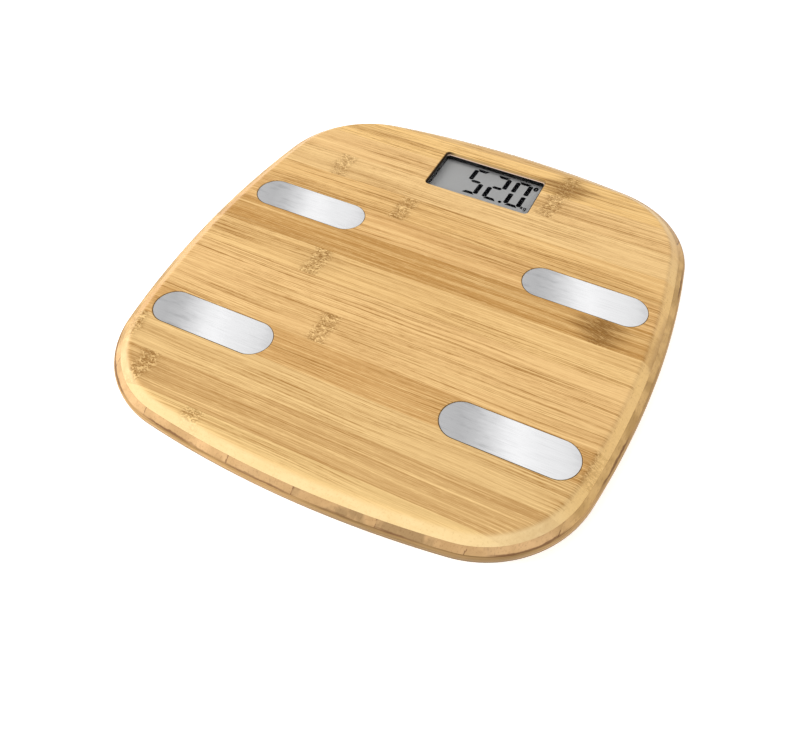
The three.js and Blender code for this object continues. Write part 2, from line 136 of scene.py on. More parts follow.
class Shape:
    # Points and faces of one piece, gathered as whole arrays
    def __init__(self):
        self.points, self.faces, self.count = [], [], 0

    def add(self, points):
        points = np.asarray(points, float)
        self.points.append(points.reshape(-1, 3))
        index = np.arange(self.count, self.count + self.points[-1].shape[0]).reshape(points.shape[:-1])
        self.count += index.size
        return index

    def bands(self, index, along=False):
        # Quads between neighbouring rings of an index grid; along closes the last ring to the first
        index = np.concatenate([index, index[:, :1]], axis=1)
        if along:
            index = np.concatenate([index, index[:1]], axis=0)
        quads = np.stack([index[:-1, :-1], index[:-1, 1:], index[1:, 1:], index[1:, :-1]], axis=-1)
        self.faces.extend(quads.reshape(-1, 4).tolist())

    def pole(self, ring, point):
        middle = self.add([point])[0]
        fan = np.column_stack([ring, np.roll(ring, -1), np.full(len(ring), middle)])
        self.faces.extend(fan.tolist())

    def fill(self, *rings):
        # Flat face inside the first ring, with the other rings as its holes
        points = np.concatenate(self.points)
        order = np.concatenate(rings)
        triangles = tessellate_polygon([[Vector(p) for p in points[ring]] for ring in rings])
        self.faces.extend(order[list(triangle)].tolist() for triangle in triangles)

    def rings(self, outline, profile, along=False):
        # The profile's (offset, z) points carried round an outline
        index = self.add(outline.rings(profile))
        self.bands(index, along)
        return index

    def skin(self, rings):
        # Closed surface through a run of rings, its two ends filled
        index = self.add(rings)
        self.bands(index)
        self.fill(index[0])
        self.fill(index[-1])
        return self

    def turned(self, x, y, profile, steps=96):
        # Surface of revolution: (radius, z) points turned about a vertical axis through (x, y),
        # from one point of the axis to another
        turn = np.linspace(0, math.tau, steps, endpoint=False)
        ring = np.column_stack([np.cos(turn), np.sin(turn), np.zeros(steps)])
        index = self.add([[x, y, z] + radius * ring for radius, z in profile if radius > 0])
        self.bands(index)
        self.pole(index[0], (x, y, profile[0][1]))
        self.pole(index[-1], (x, y, profile[-1][1]))
        return self

    def tube(self, path, radius, z, steps=12):
        # Round section carried along a flat path: point + radius * (cos * sideways + sin * up)
        ahead = np.gradient(path, axis=0)
        ahead /= np.linalg.norm(ahead, axis=1)[:, None]
        side = np.column_stack([-ahead[:, 1], ahead[:, 0], np.zeros(len(path))])
        turn = np.linspace(0, math.tau, steps, endpoint=False)
        middle = np.column_stack([path, np.full(len(path), z)])
        grid = (middle[:, None] + radius * np.cos(turn)[None, :, None] * side[:, None]
                + radius * np.sin(turn)[None, :, None] * np.array([0, 0, 1]))
        index = self.add(grid)
        self.bands(index)
        self.pole(index[0], middle[0])
        self.pole(index[-1], middle[-1])
        return self

    def mesh(self, name):
        mesh = bpy.data.meshes.new(name)
        mesh.from_pydata((np.concatenate(self.points) * mm).tolist(), [], self.faces)
        work = bmesh.new()
        work.from_mesh(mesh)
        bmesh.ops.recalc_face_normals(work, faces=work.faces)
        work.to_mesh(mesh)
        work.free()
        return mesh


def prism(outline, z0, z1):
    return Shape().skin(outline.rings([(0, z0), (0, z1)]))


def peg(x, y, radius, z0, z1, steps=20):
    return prism(circle(x, y, radius, steps), z0, z1)


def link(name, mesh):
    piece = bpy.data.objects.new(name, mesh)
    bpy.context.scene.collection.objects.link(piece)
    return piece


def carve(piece, shapes, operation="DIFFERENCE"):
    # Cuts closed shapes out of a piece, or joins them to it, one after the other
    tools = [link("tool", shape.mesh("tool")) for shape in shapes]
    for tool in tools:
        modifier = piece.modifiers.new("carve", "BOOLEAN")
        modifier.operation = operation
        modifier.solver = "EXACT"
        modifier.object = tool
    graph = bpy.context.evaluated_depsgraph_get()
    mesh = bpy.data.meshes.new_from_object(piece.evaluated_get(graph), depsgraph=graph)
    piece.modifiers.clear()
    piece.data = mesh
    for tool in tools:
        bpy.data.objects.remove(tool)


def makePiece(name, shape, look, stands=(), body="platform", slot=None, cuts=(), joins=(), sharp=33):
    piece = link(name, shape.mesh(name))
    if joins:
        carve(piece, joins, "UNION")
    if cuts:
        carve(piece, cuts)
    piece.data.shade_smooth()
    piece.data.set_sharp_from_angle(angle=math.radians(sharp))
    piece.data.materials.clear()
    piece.data.materials.append(looks[look])
    slot = slot or look
    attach(piece, body)
    if stands:
        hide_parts(*stands)


def sums(operation):
    # Method that adds one Math node
    return lambda signal, other=0.0: signal.net.maths(operation, signal, other)


class Signal:
    # A node socket that takes part in sums: each operator adds one Math node
    def __init__(self, net, socket):
        self.net, self.socket = net, socket

    def __rsub__(self, other):
        return self.net.maths("SUBTRACT", other, self)

    __add__ = __radd__ = sums("ADD")
    __mul__ = __rmul__ = sums("MULTIPLY")
    __sub__ = sums("SUBTRACT")
    __truediv__ = sums("DIVIDE")
    __abs__ = sums("ABSOLUTE")
    floor = sums("FLOOR")
    sign = sums("SIGN")

    def output(self, name):
        return Signal(self.net, self.socket.node.outputs[name])

    def step(self, low, high):
        # Smooth step from 0 at low to 1 at high; low may be the larger
        sockets = {0: self, 1: low, 2: high, 3: 0.0, 4: 1.0}
        return self.net.add("MapRange", {"interpolation_type": "SMOOTHSTEP"}, sockets)


class Net:
    # The node tree of one material
    def __init__(self, name):
        self.material = bpy.data.materials.new(name)
        self.material.use_nodes = True
        self.tree = self.material.node_tree
        self.tree.nodes.clear()

    def add(self, kind, settings=None, sockets=None, output=0):
        node = self.tree.nodes.new("ShaderNode" + kind)
        for key, value in (settings or {}).items():
            if key == "stops":
                self.setStops(node.color_ramp, value)
            elif key == "interpolation":
                node.color_ramp.interpolation = value
            else:
                setattr(node, key, value)
        for key, value in (sockets or {}).items():
            if isinstance(value, Signal):
                self.tree.links.new(value.socket, node.inputs[key])
            else:
                node.inputs[key].default_value = value
        return Signal(self, node.outputs[output])

    def setStops(self, ramp, stops):
        while len(ramp.elements) < len(stops):
            ramp.elements.new(1.0)
        for element, (position, colour) in zip(ramp.elements, stops):
            element.position = position
            element.color = (*colour, 1.0)

    def maths(self, operation, first, second):
        return self.add("Math", {"operation": operation}, {0: first, 1: second})

    def place(self):
        # Object coordinates in millimetres
        metres = self.add("TexCoord", output="Object")
        scaled = self.add("VectorMath", {"operation": "SCALE"}, {0: metres, "Scale": 1 / mm})
        split = self.add("SeparateXYZ", None, {0: scaled})
        return split, split.output("Y"), split.output("Z")

    def point(self, x, y, z):
        return self.add("CombineXYZ", None, {0: x, 1: y, 2: z})

    def noise(self, x, y, z, detail=2.0, roughness=0.5, distortion=0.0, scale=1.0):
        return self.add("TexNoise", None, {"Vector": self.point(x, y, z), "Scale": scale, "Detail": detail,
                                           "Roughness": roughness, "Distortion": distortion})

    def ramp(self, value, stops, interpolation="LINEAR"):
        return self.add("ValToRGB", {"interpolation": interpolation, "stops": stops}, {0: value})

    def mix(self, factor, first, second):
        # Each colour is a signal or a screen colour given as 0 to 255
        first, second = (c if isinstance(c, Signal) else paint(*c) for c in (first, second))
        return self.add("Mix", {"data_type": "RGBA"}, {0: factor, 6: first, 7: second}, output=2)

    def coats(self, colour, *layers):
        # Colours laid over the first one after the other, each with its amount
        for amount, layer in layers:
            colour = self.mix(amount, colour, layer)
        return colour

    def bump(self, height, distance, strength):
        sockets = {"Height": height, "Distance": distance * mm, "Strength": strength}
        return self.add("Bump", None, sockets)

    def finish(self, **sockets):
        names = {key.replace("_", " "): value for key, value in sockets.items()}
        shader = self.add("BsdfPrincipled", None, names)
        end = self.tree.nodes.new("ShaderNodeOutputMaterial")
        self.tree.links.new(shader.socket, end.inputs["Surface"])
        return self.material


def openNet(name):
    # A material's nodes, and x, y and z on the piece
    net = Net(name)
    return net, *net.place()


def tone(red, green, blue, gain=1.0):
    # Linear colour of a screen colour given as 0 to 255
    return tuple(gain * (c / 255 / 12.92 if c <= 10 else ((c / 255 + 0.055) / 1.055) ** 2.4)
                 for c in (red, green, blue))


def paint(red, green, blue):
    return (*tone(red, green, blue), 1.0)


def fromDisplay(y, first, last):
    # Smooth step between two parts of the window's depth, counted from its middle to the rear
    depth = display["window"][1]
    return (y - displayY).step(depth * first, depth * last)


bamboo = {
    "stripWidth": 22.0,
    "firstEdge": -152.0,
    # from the front strip to the rear one: screen colour of its wood
    "tones": [(214, 180, 120), (184, 144, 89), (208, 172, 115), (190, 145, 86), (211, 170, 112),
              (217, 176, 117), (214, 174, 113), (175, 127, 62), (205, 160, 100), (213, 170, 107),
              (222, 184, 125), (217, 176, 117), (228, 186, 118), (206, 168, 113)],
    # place of the knuckle along each strip, how dark it is and how strong its flecks are
    "knuckles": [(-63, 0, 0.8), (-108, 0.22, 0.9), (-133, 0.15, 0.9), (139, 0.1, 1.0), (-32, 0, 0.9),
                 (0, 0, 0), (-63, 0.2, 1.0), (111, 1.0, 0.45), (0, 0, 0), (-37, 0.05, 0.9),
                 (-95, 0.1, 0.8), (48, 0.15, 1.0), (52, 0.75, 0.8), (0, 0, 0)],
    "reach": 150.0,
    "knuckleWidth": 8.5,
    "smudgeWidth": 24.0,
    # fibres: stretch along and across the strip, detail and roughness of their noise, then the
    # steps and weights of their dark and of their pale part
    "fibres": {
        "medium": (0.005, 0.45, 2.0, 0.6, (0.49, 0.32, 0.45), (0.52, 0.70, 0.40)),
        "fine": (0.010, 1.4, 2.0, 0.6, (0.49, 0.34, 0.65), (0.52, 0.68, 0.55)),
        "hair": (0.022, 3.6, 1.0, 0.5, (0.50, 0.30, 0.60), (0.52, 0.72, 0.45)),
        "broad": (0.004, 0.11, 2.0, 0.5, (0.48, 0.30, 0.40), (0.54, 0.72, 0.25)),
        "pits": (0.13, 2.3, 2.0, 0.7, (0.47, 0.30, 0.60), (0.53, 0.70, 0.50)),
    },
    "streak": 0.85,  # strength of the dark fibres
    "shine": 0.62,  # strength of the pale fibres
    "streakTone": (154, 108, 46),
    "paleTone": (236, 200, 138),
    "fleckTone": (128, 86, 24),
    "smudgeTone": (116, 74, 4),
    "bevelTone": (226, 198, 146),
    "sideBevelTone": (234, 194, 126),
    "leftBevelTone": (190, 140, 82),
    "bevelTop": 21.97,
    "bevelBottom": 20.2,
    "stain": (22.0, 26.0),  # middle and half length of a dark patch on the right bevel
    "stainTone": (136, 96, 56),
    "windowShadeTone": (52, 32, 16),  # painted shade on the walls of the display's window
}


def bambooFace():
    s = bamboo
    net, x, y, z = openNet("bamboo_face")
    count = len(s["tones"])
    lane = ((y - s["firstEdge"]) / s["stripWidth"]).floor()
    across = (lane + 0.5) / count
    stops = [(i / count, tone(*colour)) for i, colour in enumerate(s["tones"])]
    wood = net.ramp(across, stops, "CONSTANT")
    table = [(i / count, ((at + s["reach"]) / (2 * s["reach"]), dark, strong))
             for i, (at, dark, strong) in enumerate(s["knuckles"])]
    knuckle = net.add("SeparateColor", None, {0: net.ramp(across, table, "CONSTANT")})
    bevel = z.step(s["bevelTop"], s["bevelBottom"])

    # fibres: noise drawn out along the strip, broken at every strip by its own shift
    shift = lane * 17.3
    row = y + net.noise(x * 0.010, y * 0.03, shift, 1.0) * 4.0 + x * 0.01
    layers, dark, pale = {}, 0.0, 0.0
    for key, (lengthwise, crosswise, detail, rough, under, over) in s["fibres"].items():
        layers[key] = net.noise(x * lengthwise, row * crosswise, shift, detail, rough)
        dark = dark + layers[key].step(*under[:2]) * under[2]
        pale = pale + layers[key].step(*over[:2]) * over[2]
    medium = layers["medium"]
    calm = net.noise(x * 0.012, y * 0.05, shift, 1.0).step(0.36, 0.58) * 0.55 + 0.55
    calm = calm * (y.step(-140.0, -50.0) * 0.35 + 0.65)
    inLane = abs((y - s["firstEdge"]) / s["stripWidth"] - lane - 0.5)
    dark = dark + inLane.step(0.48, 0.5) * layers["broad"].step(0.42, 0.55) * 0.30
    flat = 1.0 - bevel * 0.75
    colour = net.coats(wood, (dark * flat * calm * s["streak"], s["streakTone"]),
                       (pale * flat * s["shine"], s["paleTone"]))

    # knuckles: a wavy band of worm-like flecks across the strip, with a dark cloud round some
    wave = net.noise(shift, y * 0.08, 3.0) * 12.0 - 6.0
    away = abs(x + wave - (knuckle * 2 * s["reach"] - s["reach"]))
    near = away.step(s["knuckleWidth"], 0.35 * s["knuckleWidth"]) * knuckle.output("Blue")
    worm = net.noise(x * 0.42 + y * 0.14, y * 0.80 - x * 0.10, shift, 1.0, 0.5, 1.2)
    flecks = (abs(worm - 0.5).step(0.05, 0.02) * 0.7 + worm.step(0.57, 0.62) * 0.9) * near
    glints = worm.step(0.46, 0.38) * near
    cloud = away / s["smudgeWidth"] + inLane * inLane * 2.0 + (medium - 0.5) * 1.4
    smudge = cloud.step(1.05, 0.2) * knuckle.output("Green")
    scratch = net.noise(x * 0.12, y * 1.7 + x * 0.55, shift, 2.0, 0.6).step(0.56, 0.46)
    smudge = smudge * (scratch * 0.4 + 0.6)
    colour = net.coats(colour, (smudge * 0.85, s["smudgeTone"]), (flecks * 0.9, s["fleckTone"]),
                       (glints * (0.6 - smudge * 0.5), s["paleTone"]))

    # bevel: smooth and pale, partly its own paler tone and partly painted light, strongest at the front and
    # weaker on the sides and at the rear; with pores of the end grain on the left and right sides
    sideways = (abs(x) - abs(y)).step(5.0, 50.0)
    pores = net.noise(x * 0.9, y * 0.9, z * 0.9, 3.0, 0.7)
    mottle = net.noise(x * 0.10, y * 0.10, z * 0.3, 3.0, 0.6)
    rear = y.step(40.0, 110.0)
    # how far the pale bevel reaches, partly painted light: most at the front, less on the sides and at the
    # rear
    reach = (0.72 - sideways * (0.10 + x.step(0.0, -10.0) * 0.4)) * (1.0 - rear * 0.55)
    inner = z.step(s["bevelBottom"] - 1.5, s["bevelTop"]) * sideways
    middle, length = s["stain"]
    stain = (abs(y - middle) + (mottle - 0.5) * 22.0).step(length, 0.7 * length) * x.step(140.0, 146.0)
    belowBevel = z.step(s["bevelBottom"] - 1.0, s["bevelBottom"] - 4.0)

    # window of the display: painted shade on its walls, darkest on the left wall and paler on the lit rear
    # wall
    width, depth = display["window"][:2]
    outX, outY = abs(x) - width / 2, abs(y - displayY) - depth / 2
    inside = outX.step(0.5, 0.3) * outY.step(0.5, 0.3) * z.step(topZ - 0.05, topZ - 0.5)
    # painted shade on the window's walls, less on the rear wall
    windowWallShade = 0.95 - fromDisplay(y, 0.40, 0.5) * (x + width / 2).step(1.0, 8.0) * 0.68

    colour = net.coats(
        colour,
        (bevel * reach * (1.15 - mottle.step(0.3, 0.75) * 0.4),
         net.mix(sideways, s["bevelTone"], s["sideBevelTone"])),
        (bevel * sideways * x.step(-100.0, -140.0) * 0.35, s["leftBevelTone"]),
        (bevel * pores.step(0.53, 0.66) * (inner * 0.5 + 0.15), s["streakTone"]),
        (bevel * pores.step(0.44, 0.34) * sideways * 0.25, s["paleTone"]),
        (stain * bevel * 0.55, s["stainTone"]),
        (inside * windowWallShade, s["windowShadeTone"]),
        # darker along the rear, below the bevel
        (rear * belowBevel * 0.6, s["stainTone"]))
    height = medium * 0.5 + layers["fine"] * 0.5 - flecks * 0.8
    return net.finish(
        Base_Color=colour, Roughness=0.44 + 0.16 * medium + 0.1 * flecks, Specular_IOR_Level=0.2,
        Coat_Weight=0.1, Coat_Roughness=0.3, Normal=net.bump(height * flat, 0.10, 0.6))


bambooEdge = {
    "block": 44.0,  # length of the core's blocks
    "wander": 34.0,
    "lowTone": (184, 146, 98),
    "highTone": (210, 170, 120),
    "sideLow": (176, 138, 80),  # on the left and right sides
    "sideHigh": (208, 168, 106),
    "wallShadeLow": (152, 118, 70),  # edge of the bottom layer, its tones darker than the underside as painted shade
    "wallShadeHigh": (190, 150, 98),
    "paintedShadeTone": (102, 78, 42),  # painted shade, towards the right of the front edge
    "grainTone": (138, 98, 60),
    "jointTone": (104, 66, 36),
    "glueTone": (104, 66, 36),
    "laneWidth": 20.0,  # strips of the underside
    "laneStart": -5.0,
    "backLow": (188, 146, 96),
    "backHigh": (208, 168, 116),
    "backFleck": (132, 86, 42),
}


def glued(net, x, y):
    # Stretches of the edge where the glue line shows
    return net.noise(x * 0.022, y * 0.022, 8.0, 1.0).step(0.42, 0.6)


def bambooCore():
    s = bambooEdge
    net, x, y, z = openNet("bamboo_core")
    along = (x + net.noise(x * 0.018, 0.0, 4.0, 0.0) * s["wander"]) / s["block"]
    block = (along + 0.5).floor()
    shift = block * 11.7
    blotch = net.noise(x * 0.06, y * 0.06, shift, 3.0, 0.6)
    grain = net.noise(x * 1.1, y * 0.25, z * 1.3, 3.0, 0.65)
    front = net.mix(blotch.step(0.35, 0.65), s["lowTone"], s["highTone"])
    side = net.mix(blotch.step(0.35, 0.65), s["sideLow"], s["sideHigh"])
    colour = net.mix((abs(x) - abs(y)).step(5.0, 50.0), front, side)
    # painted shade towards the right of the front edge
    rightwardShade = x.step(-50.0, 20.0) * x.step(125.0, 80.0) * y.step(-90.0, -130.0)
    apart = abs(abs(along - block) - 0.5) * s["block"]
    broken = net.noise(block * 3.1, z * 0.5, y * 0.02, 1.0).step(0.44, 0.56)
    joint = apart.step(0.6, 0.2) * broken
    ragged = net.noise(x * 0.12, y * 0.12, 0.0, 3.0, 0.6)
    glue = (z - ragged * 1.3 - (coreZ - 0.35)).step(0.3, 0.0) * glued(net, x, y)
    colour = net.coats(
        colour, (grain.step(0.52, 0.68) * 0.35, s["grainTone"]),
        (rightwardShade * (0.14 + 0.5 * blotch.step(0.46, 0.6)), s["paintedShadeTone"]),
        (joint * 0.8, s["jointTone"]), (glue * 0.8, s["glueTone"]))
    return net.finish(Base_Color=colour, Roughness=0.5 + 0.15 * grain, Specular_IOR_Level=0.3,
                      Normal=net.bump(grain * 0.5 - joint, 0.12, 0.6))


def bambooBack():
    s = bambooEdge
    net, x, y, z = openNet("bamboo_back")
    lane = ((y - s["laneStart"]) / s["laneWidth"]).floor()
    shift = lane * 13.1 + 40.0
    row = y + net.noise(x * 0.013, y * 0.03, shift, 1.0) * 4.0
    broad = net.noise(x * 0.005, row * 0.1, shift)
    medium = net.noise(x * 0.010, row * 0.5, shift, 3.0, 0.6)
    fine = net.noise(x * 0.022, row * 1.6, shift, 2.0, 0.6)
    colour = net.mix(broad.step(0.35, 0.65), s["backLow"], s["backHigh"])
    at = net.noise(lane * 7.7, 0.5, 1.5, 0.0) * 500.0 - 250.0
    near = abs(x - at).step(9.0, 2.0)
    worm = net.noise(x * 0.34 + y * 0.12, y * 0.62, shift, 2.0, 0.6, 0.8)
    colour = net.coats(colour, (medium.step(0.5, 0.32) * 0.45 + fine.step(0.5, 0.34) * 0.25, s["grainTone"]),
                       (worm.step(0.53, 0.64) * near * 0.5, s["backFleck"]))
    streaks = net.noise(x * 0.03, y * 0.03, z * 2.2, 3.0, 0.65)
    # painted shade towards the right of the front edge
    rightwardShade = x.step(-40.0, 50.0) * x.step(140.0, 115.0) * y.step(-80.0, -120.0)
    # edge of the bottom layer: its streaked grain in painted shade, darker towards the floor
    wall = net.coats(
        net.mix(streaks.step(0.36, 0.62), s["wallShadeLow"], s["wallShadeHigh"]), (rightwardShade * 0.5, s["paintedShadeTone"]),
        (z.step(boardZ + 2.4, boardZ + 1.5) * 0.75, s["paintedShadeTone"]))
    ragged = net.noise(x * 0.15, y * 0.15, 2.0, 3.0, 0.6)
    glue = (z + ragged * 0.9 - coreZ).step(0.1, 0.5) * glued(net, x, y)
    colour = net.coats(colour, (z.step(boardZ + 0.05, boardZ + 0.3), wall), (glue * 0.75, s["glueTone"]))
    return net.finish(Base_Color=colour, Roughness=0.5 + 0.15 * medium, Specular_IOR_Level=0.3,
                      Normal=net.bump(medium, 0.1, 0.6))


steel = {
    "middleX": 92.7,  # mean distance of the plates from the middle line
    "middleY": middleOf("electrode_front_left")[1],
    "pitchY": middleOf("electrode_rear_left")[1] - middleOf("electrode_front_left")[1],
    "edgeZ": boxOf("electrode_front_left")[1][2] - 0.12,  # height of the rim below the crown
    "halfLength": 38.7,
    "slant": 0.35,  # lean of the painted reflection's sweep across the plate
    # painted reflection: screen grey at each place along the plate
    "sweep": [(0.0, 189), (0.13, 184), (0.25, 196), (0.36, 219), (0.47, 240), (0.56, 245), (0.70, 237),
              (0.84, 232), (0.93, 225), (1.0, 212)],
    "gain": 1.09,
    "lineTone": (122, 122, 124),
    "blotchTone": (150, 151, 153),
    # painted shadow of the gap round the plate, along its rim
    "rimShadowTone": (84, 74, 62),
}


def brushedSteel():
    # Long brushing lines along X, and a painted reflection: a soft sweep from grey to bright along each plate
    s = steel
    net, x, y, z = openNet("electrode_steel")
    lines = net.noise(x * 0.04, y * 4.5, z * 0.5, 3.0, 0.7)
    blotch = net.noise(x * 0.07, y * 0.30, 0.0, 3.0, 0.6)
    beside = y - ((y - s["middleY"]) / s["pitchY"] + 0.5).floor() * s["pitchY"] - s["middleY"]
    along = x - x.sign() * s["middleX"] + beside * s["slant"]
    place = along / (2 * s["halfLength"]) + 0.5 + (blotch - 0.5) * 0.16
    # painted reflection, grey to bright along each plate
    shade = net.ramp(place, [(at, tone(grey, grey, grey + 1, s["gain"])) for at, grey in s["sweep"]])
    shade = net.coats(
        shade, (lines.step(0.52, 0.28) * 0.22, s["lineTone"]),
        (blotch.step(0.5, 0.3) * place.step(0.45, 0.1) * 0.35, s["blotchTone"]),
        # painted shadow along the plate's rim
        (z.step(s["edgeZ"] - 0.04, s["edgeZ"] - 0.2) * 0.75, s["rimShadowTone"]))
    return net.finish(Base_Color=shade, Metallic=1.0, Roughness=0.40 + 0.14 * (lines - 0.5),
                      Normal=net.bump(lines, 0.012, 0.5))


def plainSteel(name, colour, roughness):
    net, x, y, z = openNet(name)
    mottle = net.noise(x * 0.6, y * 0.6, z * 0.6, 3.0, 0.6)
    shade = net.mix(mottle, [c * 0.9 for c in colour], colour)
    return net.finish(Base_Color=shade, Metallic=1.0, Roughness=roughness + 0.1 * mottle,
                      Normal=net.bump(mottle, 0.02, 0.3))


def moulded(name, colour, roughness, texture=1.5, depth=0.03, spread=0.06):
    # Spark-eroded texture of moulded plastic or rubber, with a slight drift of tone
    net, x, y, z = openNet(name)
    drift = net.noise(x, y, z, scale=0.05)
    grain = net.noise(x, y, z, 2.0, 0.6, scale=texture)
    shade = net.mix(drift.step(0.3, 0.7), [c * (1 - spread) for c in colour], colour)
    return net.finish(Base_Color=shade, Roughness=roughness + 0.12 * (grain - 0.5),
                      Normal=net.bump(grain, depth, 0.5))


displayTones = {
    "bezel": (16, 15, 15),
    "paintedHighlight": (222, 194, 172),
    "lens": (0.16, 0.17, 0.18, 1.0),
    "panelLow": (146, 146, 146),
    "panelHigh": (151, 151, 150),
    "rearWallShadow": (60, 58, 58),
    "inkLow": (2, 2, 3),
    "inkHigh": (6, 6, 8),
}


def bezelPlastic():
    # Glossy black, with a painted highlight along the upper arris of its rear side
    s = displayTones
    net, x, y, z = openNet("bezel_plastic")
    # painted highlight on the rear upper arris
    paintedHighlight = z.step(display["bezelTop"] - 0.40, display["bezelTop"] - 0.12) * fromDisplay(y, 0.4, 0.47)
    shade = net.mix(paintedHighlight * 0.9, s["bezel"], s["paintedHighlight"])
    return net.finish(Base_Color=shade, Roughness=0.2 + 0.1 * net.noise(x, y, z, scale=0.8))


def clearLens():
    net, x, y, z = openNet("clear_lens")
    haze = net.noise(x * 0.2, y * 0.2, z)
    return net.finish(Base_Color=displayTones["lens"], Roughness=0.03 + 0.03 * haze, Alpha=0.012)


def lcdFace():
    s = displayTones
    net, x, y, z = openNet("lcd_face")
    shade = net.mix(net.noise(x * 0.03, y * 0.03, z).step(0.3, 0.7), s["panelLow"], s["panelHigh"])
    # painted shadow of the window's rear wall on the panel
    shade = net.mix(fromDisplay(y, 0.36, 0.48) * 0.7, shade, s["rearWallShadow"])
    grain = net.noise(x * 3.0, y * 3.0, z, 1.0)
    return net.finish(Base_Color=shade, Roughness=0.45 + 0.06 * grain, Specular_IOR_Level=0.3)


def lcdInk():
    s = displayTones
    net, x, y, z = openNet("lcd_ink")
    grain = net.noise(x * 2.0, y * 2.0, z, 1.0)
    return net.finish(Base_Color=net.mix(grain, s["inkLow"], s["inkHigh"]), Roughness=0.7 + 0.1 * grain,
                      Specular_IOR_Level=0.0)


def circuitBoard():
    net, x, y, z = openNet("circuit_board")
    cells = {"Vector": net.point(x, y, 0.0), "Scale": 0.35}
    weave = net.add("TexVoronoi", {"distance": "CHEBYCHEV"}, cells)
    track = weave.step(0.3, 0.34) * weave.step(0.42, 0.38)
    shade = net.mix(track, (24, 92, 50), (52, 134, 78))
    return net.finish(Base_Color=shade, Roughness=0.35 + 0.2 * track, Normal=net.bump(track, 0.03, 0.5))


metals = {  # screen colour and roughness
    "socket_steel": ((214, 215, 218), 0.25),
    "cell_steel": ((198, 199, 200), 0.32),
    "screw_steel": ((206, 206, 200), 0.3),
}
plastics = {  # the same, and where they differ the fineness and depth of the texture
    "black_plastic": ((22, 21, 21), 0.45),
    "white_plastic": ((232, 232, 226), 0.5),
    "strip_rubber": ((74, 74, 80), 0.8),
    "capacitor_sleeve": ((29, 58, 110), 0.35),
    "button_plastic": ((140, 143, 146), 0.5),
    "foot_rubber": ((58, 58, 60), 0.85, 1.0, 0.05),
    "wire_red": ((176, 48, 40), 0.55),
    "wire_blue": ((47, 111, 176), 0.55),
    "wire_white": ((217, 217, 215), 0.55),
}
looks = {
    "bamboo_face": bambooFace(),
    "bamboo_core": bambooCore(),
    "bamboo_back": bambooBack(),
    "electrode_steel": brushedSteel(),
    "clear_lens": clearLens(),
    "lcd_face": lcdFace(),
    "lcd_ink": lcdInk(),
    "bezel_plastic": bezelPlastic(),
    "circuit_board": circuitBoard(),
    **{name: plainSteel(name, *values) for name, values in metals.items()},
    **{name: moulded(name, *values) for name, values in plastics.items()},
}
print("materials made:", len(looks))


platform = {
    "sideRadius": 545.0,  # bow of the left and right sides
    "endRadius": 610.0,  # bow of the front and rear sides
    "cornerRadius": 65.0,
    "chamfer": 11.0,
    "chamferDrop": 7.6,
    "topEdge": 4.0,  # rounding between the top and the chamfer
    "wideEdge": 2.2,  # rounding at the widest edge
    "lowerChamfer": 1.0,
    "support": 1.6,  # flat ring inside the rounded edge
    "ease": 0.1,  # broken edges at the glue lines
}


def platformOutline():
    # Bowed square of four side arcs and four corner arcs, each tangent to its neighbours
    s = platform
    sideX, endY = half - s["sideRadius"], half - s["endRadius"]
    reachX, reachY = s["sideRadius"] - s["cornerRadius"], s["endRadius"] - s["cornerRadius"]
    apart = math.hypot(sideX, endY)
    along = (apart ** 2 + reachX ** 2 - reachY ** 2) / (2 * apart)
    across = math.sqrt(reachX ** 2 - along ** 2)
    ux, uy = -sideX / apart, endY / apart
    cx, cy = sideX + ux * along - uy * across, uy * along + ux * across
    first, second = math.atan2(cy, cx - sideX), math.atan2(cy - endY, cx)
    corner, pi = s["cornerRadius"], math.pi
    return Outline([
        (sideX, 0, s["sideRadius"], -first, first, 44), (cx, cy, corner, first, second, 32),
        (0, endY, s["endRadius"], second, pi - second, 44), (-cx, cy, corner, pi - second, pi - first, 32),
        (-sideX, 0, s["sideRadius"], pi - first, pi + first, 44),
        (-cx, -cy, corner, pi + first, pi + second, 32),
        (0, -endY, s["endRadius"], pi + second, 2 * pi - second, 44),
        (cx, -cy, corner, 2 * pi - second, 2 * pi - first, 32)])


edge = platformOutline()
wideZ = topZ - platform["chamferDrop"]
lower = platform["lowerChamfer"]
edgeProfile = rounded([
    (-lower - platform["support"], boardZ, 0), (-lower, boardZ, 0.4), (0, boardZ + lower, 0.5),
    (0, wideZ, platform["wideEdge"]), (-platform["chamfer"], topZ, platform["topEdge"]),
    (-platform["chamfer"] - platform["support"], topZ, 0)], steps=8)


def edgeBetween(z0, z1):
    # Part of the edge profile between two heights, its arrises broken at the glue lines
    ease = platform["ease"]
    offsets, heights = edgeProfile.T
    keep = (heights > z0 + ease) & (heights < z1 - ease)
    atLow, atHigh = np.interp([z0 + ease, z1 - ease], heights, offsets)
    bottom = [(atLow - ease, z0), (atLow, z0 + ease)]
    top = [(atHigh, z1 - ease), (atHigh - ease, z1)]
    if z0 == boardZ:
        bottom, keep = [], keep | (heights <= z0 + ease)
    if z1 == topZ:
        top, keep = [], keep | (heights >= z1 - ease)
    return bottom + edgeProfile[keep].tolist() + top


electrode = {
    "thickness": 1.1,
    "gap": 0.35,
    "rim": 0.3,  # rounding of its edge and of its pocket
    "crown": 0.12,
    "land": 0.05,  # half width of the flat strip left along the middle line
    "studRadius": 1.0,
    "studHole": 1.5,
    "studEnd": 12.2,
    "studRoot": 0.5,  # how far the stud reaches into the plate
    "studX": 64.0,
}
electrodeBoxes = {name: boxOf("electrode_" + name) for name, *_ in corners}
window = roundedBox(0, displayY, *display["window"], 10)


def boxOutline(low, high, radius, steps):
    # Plan of a node's box with rounded corners
    middle, size = (low + high) / 2, high - low
    return roundedBox(*middle[:2], *size[:2], radius, steps)


def electrodeOutline(name):
    low, high = electrodeBoxes[name]
    return boxOutline(low, high, (high[1] - low[1]) / 2, 24)


